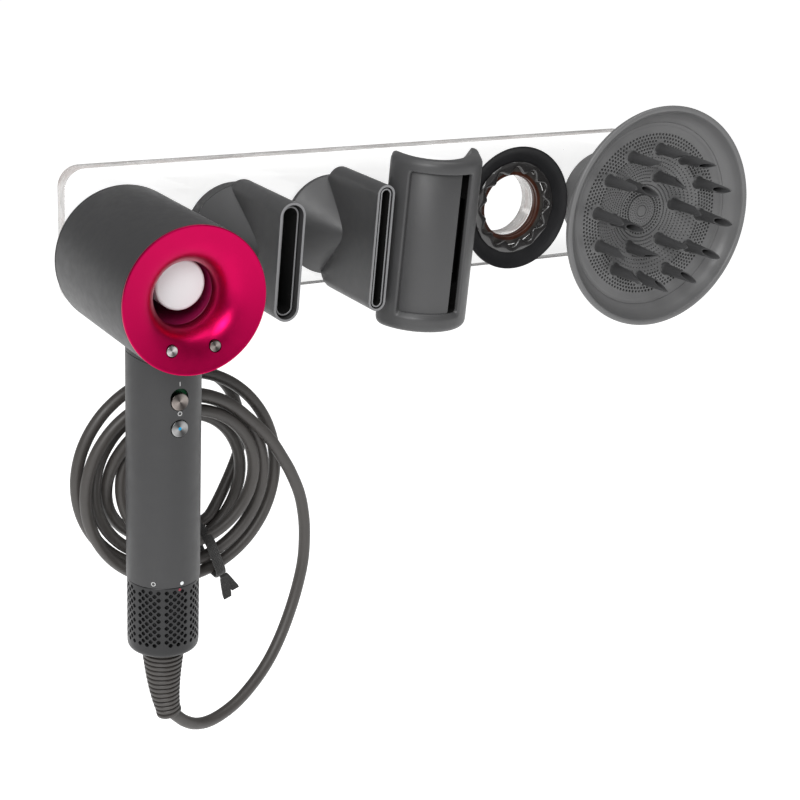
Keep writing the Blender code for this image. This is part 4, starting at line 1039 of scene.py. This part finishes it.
def dress_insides():
    """Plain finishes for the CAD solids that stay: what is inside the dryer and behind the plate."""
    looks = {
        "heater_ring": CERAMIC, "control_board": BOARD, "switch_board": BOARD, "motor_housing": DARK_METAL,
        "motor_mount": GLOSS, "impeller": STEEL, "handle_base": GLOSS, "rod_screw": STEEL,
        "adhesive_pad_1": PAD, "adhesive_pad_2": PAD, "adhesive_pad_3": PAD,
    }
    for node, look in looks.items():
        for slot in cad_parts[node].material_slots:
            slot.material = look


# The attachments

COLLAR = 29.5
BROWN_RADIUS = 21.6


def make_magnets():
    """The magnet plates under the attachments' collars."""
    places = (
        ("wide_nozzle", SAGGED[0], "wide_nozzle_base"), ("narrow_nozzle", SAGGED[1], "narrow_nozzle"),
        ("barrel", SAGGED[2], "barrel"), ("ring", DOCKS[3], "ring_base"),
        ("diffuser", DOCKS[4], "diffuser_base"),
    )
    profile = [(19.5, 3.6, 0.3), (24.3, 3.6, 0.2), (24.3, 5.6, 0.3), (BROWN_RADIUS, 5.6), (19.5, 5.6, 0.4)]
    for name, place, body in places:
        finish = (DARK_METAL, body, [f"{name}_magnet"], "magnet_metal")
        plate = piece(f"{name}_magnet_plate", turned(profile), place, *finish)
        second_look(plate, BROWN, lambda at: at.xy.length < BROWN_RADIUS + 0.1)


def cone(base, straight, tip, tip_depth, low):
    return lofted([circle(base, low, 96), circle(base, straight, 96), circle(tip, tip_depth, 96)])


def slab(half_height, half_width, back, front, corner):
    """A flat duct with round long edges, its back corners rounded off."""
    outlines = []
    steps = 10
    for step in range(steps + 1):
        angle = radians(90) * step / steps
        depth = back + corner * (1 - cos(angle))
        outlines.append(stadium(half_height - corner * (1 - sin(angle)), half_width, depth))
    return lofted([*outlines, stadium(half_height, half_width, front)])


def paint_rim_highlight(obj, front):
    """A painted highlight: a lighter colour on the faces at the very front, where the rim catches the light.
    """
    second_look(obj, PAINTED_RIM_HIGHLIGHT, lambda at: at.z > front)


def make_nozzle(name, dock, half_height, half_width, front, straight, tip_depth, inset, setback):
    """A round collar narrowing into a tall flat duct, with a second wall inside its mouth."""
    wall = 1.3
    shell = raw(f"{name}_cover", cone(COLLAR, straight, half_width - 0.3, tip_depth, GAP), dock)
    shape_with(shell, slab(half_height, half_width, 2.5, front, 9), dock, "UNION")
    shape_with(shell, cone(COLLAR - 1.6, straight, half_width - 2, tip_depth, GAP - 2), dock)
    slot = slab(half_height - wall, half_width - wall, 2.5 + wall, front + 1, 8)
    shape_with(shell, slot, dock)
    if straight > 5:
        shape_with(shell, turned(tube(COLLAR - 0.45, COLLAR + 3, straight - 0.6, straight - 0.1, 0)), dock)
    finish_piece(shell, CHARCOAL, name, [f"{name}_shell"], angle=28)
    # Painted highlight on the shell's front rim.
    paint_rim_highlight(shell, front - 0.3)

    lip = 0.9
    seat = wall + GAP
    back = tip_depth - 2
    mouth = front - setback
    levels = (
        (seat, back), (seat, back + 2), (inset, back + 5), (inset, mouth - 0.25), (inset + 0.25, mouth),
        (inset + lip - 0.25, mouth), (inset + lip, mouth - 0.25), (inset + lip, back),
    )
    outlines = [stadium(half_height - less, half_width - less, depth) for less, depth in levels]
    lining = lofted(outlines, closed=True)
    duct = piece(f"{name}_lining", lining, dock, CHARCOAL, name, [f"{name}_duct"], angle=28)
    # Painted highlight on the lining's front edge.
    paint_rim_highlight(duct, mouth - 0.3)
    # Painted shade: the lining's faces deeper than just behind its mouth are near-black.
    second_look(duct, PAINTED_SHADE, lambda at: at.z < mouth - 1.5)


BARREL_YAW = -27.0
BARREL_REACH = 52.5
BARREL_SHIFT = -1.4
BARREL_RADIUS = 28.9
BARREL_HALF_HEIGHT = 50.0
BARREL_BACK = 28.0
RECESS_LOW, RECESS_HIGH = -38.7, 42.3
RECESS_DEPTH = 4.5
SLOT_ANGLES = (38.5, 51.5)
BAR_ANGLES = (-29, 51.5)
SLOT_INNER = 14
HOLLOW_END = 76
ROOM_RADIUS, ROOM_HALF_HEIGHT = 21, 25
SADDLE_HEIGHT = 54
SADDLE_SIZE = (25.5, 20, 46, 1)
NECK_WALLS = (1.6, 1.6, 1.8, 7)
# The barrel's bent neck: depth, centre across, lean, half width and half height of each outline
NECK = (
    (GAP, 0, 0, COLLAR, COLLAR), (3.2, 0, 0, COLLAR, COLLAR), (11, -3.5, -10, 23, 29.5),
    (24, -11, -21, 24, 34), (36, -17.5, -27, 23.2, 37),
)
# The barrel's left side in plan, in shares of its radius, from where its round face stops to its back
LEFT_START = -50
LEFT_CORNER = ((-0.82, 0.55), (-0.842, 0.45), (-0.84, 0.33))
LEFT_BACK = -0.69


def barrel_arc(radius, start, end, steps):
    points = []
    for step in range(steps + 1):
        angle = radians(start + (end - start) * step / steps)
        points.append((radius * sin(angle), BARREL_REACH + radius * cos(angle)))
    return points


def at_level(plan, level):
    """A plan (across, out) at a level of the station's own upright direction."""
    return [Vector((across, level, out)) for across, out in plan]


def upright(plan, low, high):
    return lofted([at_level(plan, low), at_level(plan, high)])


def half_round(radius, back):
    left = [(LEFT_BACK * radius, back)]
    left += [(across * radius, BARREL_REACH + out * radius) for across, out in reversed(LEFT_CORNER)]
    return left + barrel_arc(radius, LEFT_START, 90, 64) + [(radius, back)]


def wedge(near, far, start, end, steps=32):
    return barrel_arc(far, start, end, steps) + barrel_arc(near, end, start, steps)


def neck_outlines(sections):
    outlines = []
    for depth, centre, lean, half_x, half_y in sections:
        place = Matrix.Translation((centre, 0, depth)) @ turn_about("Y", lean)
        outlines.append([place @ Vector((p.x * half_x, p.y * half_y, 0)) for p in circle(1, 0, 96)])
    return outlines


def smooth_sections(sections, steps=4):
    """More sections on the smooth curve through a few."""
    wide = [Vector(section) for section in sections]
    return [tuple(between(wide, step / steps)) for step in range(steps * (len(wide) - 1) + 1)]


def make_barrel():
    """A tall half-round drum on a bent neck, with a slot down one side and a saddle in each end."""
    dock = SAGGED[2]
    centre = (RING_CENTRES[2].x + BARREL_SHIFT, PLATE_FRONT, DOCK_HEIGHT - ATTACHMENT_SAG)
    drum_place = station(centre, roll=ATTACHMENT_ROLL, yaw=BARREL_YAW)
    plan = half_round(BARREL_RADIUS, BARREL_BACK)
    body = raw("barrel_cover", upright(plan, -BARREL_HALF_HEIGHT, BARREL_HALF_HEIGHT), drum_place)
    soften(body, 4.0, 8, 60)
    neck = smooth_sections(NECK[1:])
    shape_with(body, lofted(neck_outlines([NECK[0], *neck])), dock, "UNION")
    for side in (-1, 1):
        scoop = bmesh.new()
        bmesh.ops.create_uvsphere(scoop, u_segments=96, v_segments=48, radius=1.0)
        move = Matrix.Translation((-1, side * SADDLE_HEIGHT, 30)) @ Matrix.Diagonal(SADDLE_SIZE)
        bmesh.ops.transform(scoop, matrix=move, verts=scoop.verts)
        shape_with(body, scoop, drum_place)
    face_back = BARREL_RADIUS - RECESS_DEPTH
    recess = wedge(face_back, BARREL_RADIUS + 9, *BAR_ANGLES)
    shape_with(body, upright(recess, RECESS_LOW, RECESS_HIGH), drum_place)
    ledge = lofted([
        at_level(wedge(near, BARREL_RADIUS + 9, *BAR_ANGLES), level)
        for near, level in ((BARREL_RADIUS - 2.5, RECESS_LOW + 0.5), (BARREL_RADIUS + 1, RECESS_LOW - 4.2))
    ])
    shape_with(body, ledge, drum_place)
    groove = wedge(BARREL_RADIUS - 0.4, BARREL_RADIUS + 4, -88, 88)
    shape_with(body, upright(groove, RECESS_LOW - 6.6, RECESS_LOW - 6.1), drum_place)
    slot = wedge(SLOT_INNER, BARREL_RADIUS + 3, SLOT_ANGLES[0], SLOT_ANGLES[1] - 0.3, 8)
    shape_with(body, upright(slot, RECESS_LOW + 0.2, RECESS_HIGH - 0.2), drum_place)
    hollow = wedge(SLOT_INNER - 1, BARREL_RADIUS - 3.5, SLOT_ANGLES[0] + 1, HOLLOW_END, 16)
    shape_with(body, upright(hollow, RECESS_LOW + 0.6, RECESS_HIGH - 0.6), drum_place)
    room = half_round(ROOM_RADIUS, BARREL_BACK + 4)
    shape_with(body, upright(room, -ROOM_HALF_HEIGHT, ROOM_HALF_HEIGHT), drum_place)
    bore = [(-1.0, *NECK[0][1:]), *NECK[1:4]]
    inner = [(*section[:3], section[3] - wall, section[4] - wall) for wall, section in zip(NECK_WALLS, bore)]
    shape_with(body, lofted(neck_outlines(inner)), dock)
    melt(body, cell=0.75, passes=5)
    home = dock.inverted() @ drum_place
    body.data.transform(home)
    body.matrix_world = dock
    finish_piece(body, CHARCOAL, "barrel", ["barrel_shell"], angle=180)

    # Painted shade: the hollow behind the barrel's slot is near-black.
    def is_hollow(at):
        place = home.inverted() @ (at * MM) / MM
        from_axis = (place.xz - Vector((0, BARREL_REACH))).length
        return from_axis < BARREL_RADIUS - 2.6 and place.x > 14.5 and abs(place.y) < RECESS_HIGH

    second_look(body, PAINTED_SHADE, is_hollow)
    face_plan = wedge(face_back, face_back + 1.8, BAR_ANGLES[0] - 0.3, SLOT_ANGLES[0])
    face = raw("barrel_face", upright(face_plan, RECESS_LOW - 0.2, RECESS_HIGH + 0.2), drum_place)
    soften(face, 0.4, 3, 60)
    finish_piece(face, CHARCOAL, "barrel", ["barrel_drum"], angle=30)


def make_ring_attachment():
    """A shallow dark dish with a glossy wavy collar in its middle."""
    dock = DOCKS[3]
    floor = 8.0
    dish = [
        (27.7, 0.3, 0.3), (29.5, 0.3, 0.5), (31, 3, 1), (35, 7, 1.5), (38.4, 11, 0.4), (38.3, 11.7, 0.3),
        (37.6, 11.6, 0.3), (33.5, floor + 1.2, 3), (29, floor + 0.6, 1), (27.2, floor, 0.2),
        (27.4, floor - 1.2, 0.3), (29.5, floor - 2, 0.5), (27.7, 3, 0.3),
    ]
    piece("ring_dish_cover", turned(dish, 144), dock, DARK_SATIN, "ring", ["ring_dish"], "dark_gloss")
    teeth = 12

    def wavy(depth, mean, swing):
        angles = round_angles(teeth * 16)
        return [polar(mean + swing * cos(teeth * angle), angle, depth) for angle in angles]

    sections = (
        (5.9, 25.6, 0), (8.0, 27.0, 0), (8.4, 28.2, 0), (9.3, 28.6, 0.1), (10.1, 27.7, 0.6),
        (10.4, 26.4, 1.2), (10.3, 24.9, 1.8), (9.9, 23.7, 2.0), (9.2, 23.2, 2.0), (8.3, 23.2, 1.9),
        (7.4, 23.6, 1.4), (6.6, 24.2, 0.5), (5.9, 24.4, 0),
    )
    bm = lofted([wavy(*section) for section in sections], closed=True)
    piece("wavy_collar", bm, dock, WAVY_GLOSS, "ring", ["ring_teeth"], "dark_gloss", 50)


DISC_THICKNESS = 2.0
TINE_RINGS = ((12, 40.5, -5, True), (6, 23.5, 8, False))
TINE_LENGTH = 30.0
# Zones of the disc's holes: outer radius, spacing of the rows, rows, holes in a row, and hole radius
ZONES = (
    (49.5, 2.1, 6, 124, 0.8), (37, 2.25, 10, 94, 0.48), (14.4, 2.0, 3, 42, 0.74), (8.4, 1.6, 4, 26, 0.36),
)


def disc_depth(radius):
    """The disc's front surface: a raised border, a flat band, and a shallow dish in the middle."""
    if radius > 51.5:
        return 52.2 + 2.4 * ((radius - 51.5) / 9.1) ** 1.2
    share = min(max((38.5 - radius) / 25, 0), 1)
    return 52.2 - 8.0 * (1.6 * share - 0.6 * share * share)


def tine_centres():
    """Each tine's centre, and the direction that its open side faces."""
    for count, radius, offset, faces_middle in TINE_RINGS:
        for index in range(count):
            angle = tau * index / count + radians(offset)
            facing = angle + pi if faces_middle else angle
            yield polar(radius, angle).to_2d(), facing


def zip_rings(bm, first, second):
    """Joins two rings of different vertex counts with triangles. Both start at the same angle."""
    i = j = 0
    while i < len(first) or j < len(second):
        step_first = j == len(second) or (i < len(first) and (i + 1) / len(first) <= (j + 1) / len(second))
        here, there = first[i % len(first)], second[j % len(second)]
        if step_first:
            i += 1
            bm.faces.new((here, first[i % len(first)], there))
        else:
            j += 1
            bm.faces.new((here, second[j % len(second)], there))


def make_disc(dock):
    """The perforated disc: zones of staggered round holes between plain bands, none under a tine."""
    bm = bmesh.new()
    tines = [centre for centre, facing in tine_centres()]
    edges = []
    for outer, pitch, rows, holes, hole_radius in ZONES:
        columns = 2 * holes
        inner = outer - pitch * (rows - 1)

        def radius_at(row):
            return min(max(outer - pitch * row, inner - 0.42 * pitch), outer + 0.42 * pitch)

        def place(column, row, face):
            radius = radius_at(row)
            return polar(radius, tau * column / columns, disc_depth(radius) - face * DISC_THICKNESS)

        def is_open(column, row):
            here = place(column, row, 0).to_2d()
            return all((here - tine).length > 5.2 for tine in tines)

        def hole(row):
            half_column = tau * (outer - pitch * row) / columns
            return diamond_hole(hole_radius / half_column, hole_radius / pitch, 2)

        edges.append(lattice(bm, columns, rows, place, is_open, hole))
    for zone, following in zip(edges, edges[1:]):
        for face in (0, 1):
            zip_rings(bm, zone[face][1], following[face][0])

    def ring(radius, below, count):
        height = disc_depth(radius) - below
        return [bm.verts.new(polar(radius, angle, height)) for angle in round_angles(count)]

    rim = [
        (52.5, 0), (54.6, 0), (54.9, 0.12), (55.2, 0.3), (56.2, 0.3), (57.0, 0.3), (57.1, 0.4),
        (56.8, DISC_THICKNESS), (55, DISC_THICKNESS), (52.5, DISC_THICKNESS),
    ]
    count = 2 * ZONES[0][3]
    skin(bm, [edges[0][0][0], *(ring(radius, below, count) for radius, below in rim), edges[0][1][0]])
    for face in (0, 1):
        bm.faces.new(edges[-1][face][1])
    for centre, facing in tine_centres():
        make_tine(bm, centre, facing)
    nodes = ["diffuser_disc", "diffuser_hub"]
    disc = piece("perforated_disc", bm, dock, PALE, "diffuser", nodes, angle=40)
    second_look(disc, CHARCOAL, lambda at: at.z > disc_depth(at.xy.length) + 0.6)


def make_tine(bm, centre, facing, sides=28):
    """A hollow finger with a flared root and a long slanted opening."""
    slant = 13.0
    root = Vector((*centre, disc_depth(centre.length) - 0.8))

    def radius_at(height):
        flare = 0.8 * max(1 - max(height - 0.8, 0) / 2.4, 0) ** 2
        return 3.5 - 1.2 * height / TINE_LENGTH + flare

    def rim_height(angle):
        return TINE_LENGTH - slant * (0.5 + 0.5 * cos(angle - facing)) ** 0.85

    def ring(share, inset, lift=0.0, floor=0.0):
        points = []
        for angle in round_angles(sides):
            height = floor + (rim_height(angle) - floor) * share + lift
            points.append(bm.verts.new(root + polar(radius_at(height) - inset, angle, height)))
        return points

    rings = [ring(share, 0.0) for share in (0, 0.05, 0.08, 0.12, 0.2, 0.4, 0.6, 0.8, 0.93, 0.985)]
    rings += [ring(1, 0.12, 0.1), ring(1, 0.45, 0.25), ring(1, 0.8, 0.1)]
    rings += [ring(share, 0.95, 0.0, 7.0) for share in (0.95, 0.7, 0.4, 0.1, 0.0)]
    capped(bm, rings)


def make_diffuser():
    """A deep bowl with a thick rim, closed by a perforated disc that carries two rings of tines."""
    dock = DOCKS[4]
    bowl = [
        (27.7, 0.3, 0.4), (COLLAR, 0.3, 0.6), (30.6, 18, 4), (33, 24, 4), (44, 35, 3), (58, 49, 3),
        (66, 57.3, 3), (68.6, 60.4, 1.4), (68.6, 63.3, 1.5), (65.4, 63.3, 1.2), (64.4, 60.6, 1),
        (62.8, 57.6, 1.5), (60.4, 55.2, 1.4), (57.2, 53.4, 0.1), (57.2, 52.4, 0.3), (56.5, 50, 2),
        (42.5, 37, 3), (31, 26, 3), (28.8, 18, 2),
    ]
    shell = piece("diffuser_bowl_cover", turned(bowl, 192), dock, PALE, "diffuser", ["diffuser_bowl"])
    # Painted shade: the bowl's inner wall below the disc is near-black.
    second_look(shell, PAINTED_SHADE, lambda at: 12 < at.z < 52 and at.xy.length < max(30, at.z + 6.6))
    make_disc(dock)


def make_attachments():
    make_magnets()
    make_nozzle(
        "wide_nozzle", SAGGED[0], half_height=33, half_width=7.6, front=72.2,
        straight=9, tip_depth=50, inset=2.6, setback=3,
    )
    make_nozzle(
        "narrow_nozzle", SAGGED[1], half_height=36.2, half_width=5.4, front=62.7,
        straight=3.2, tip_depth=26.7, inset=2.1, setback=0.2,
    )
    make_barrel()
    make_ring_attachment()
    make_diffuser()


make_camera()
make_studio()
make_cord()
make_plate()
make_dock_rings()
make_rod()
make_hook()
make_head()
make_flare()
make_outlet()
make_handle()
make_cage()
dress_insides()
make_attachments()
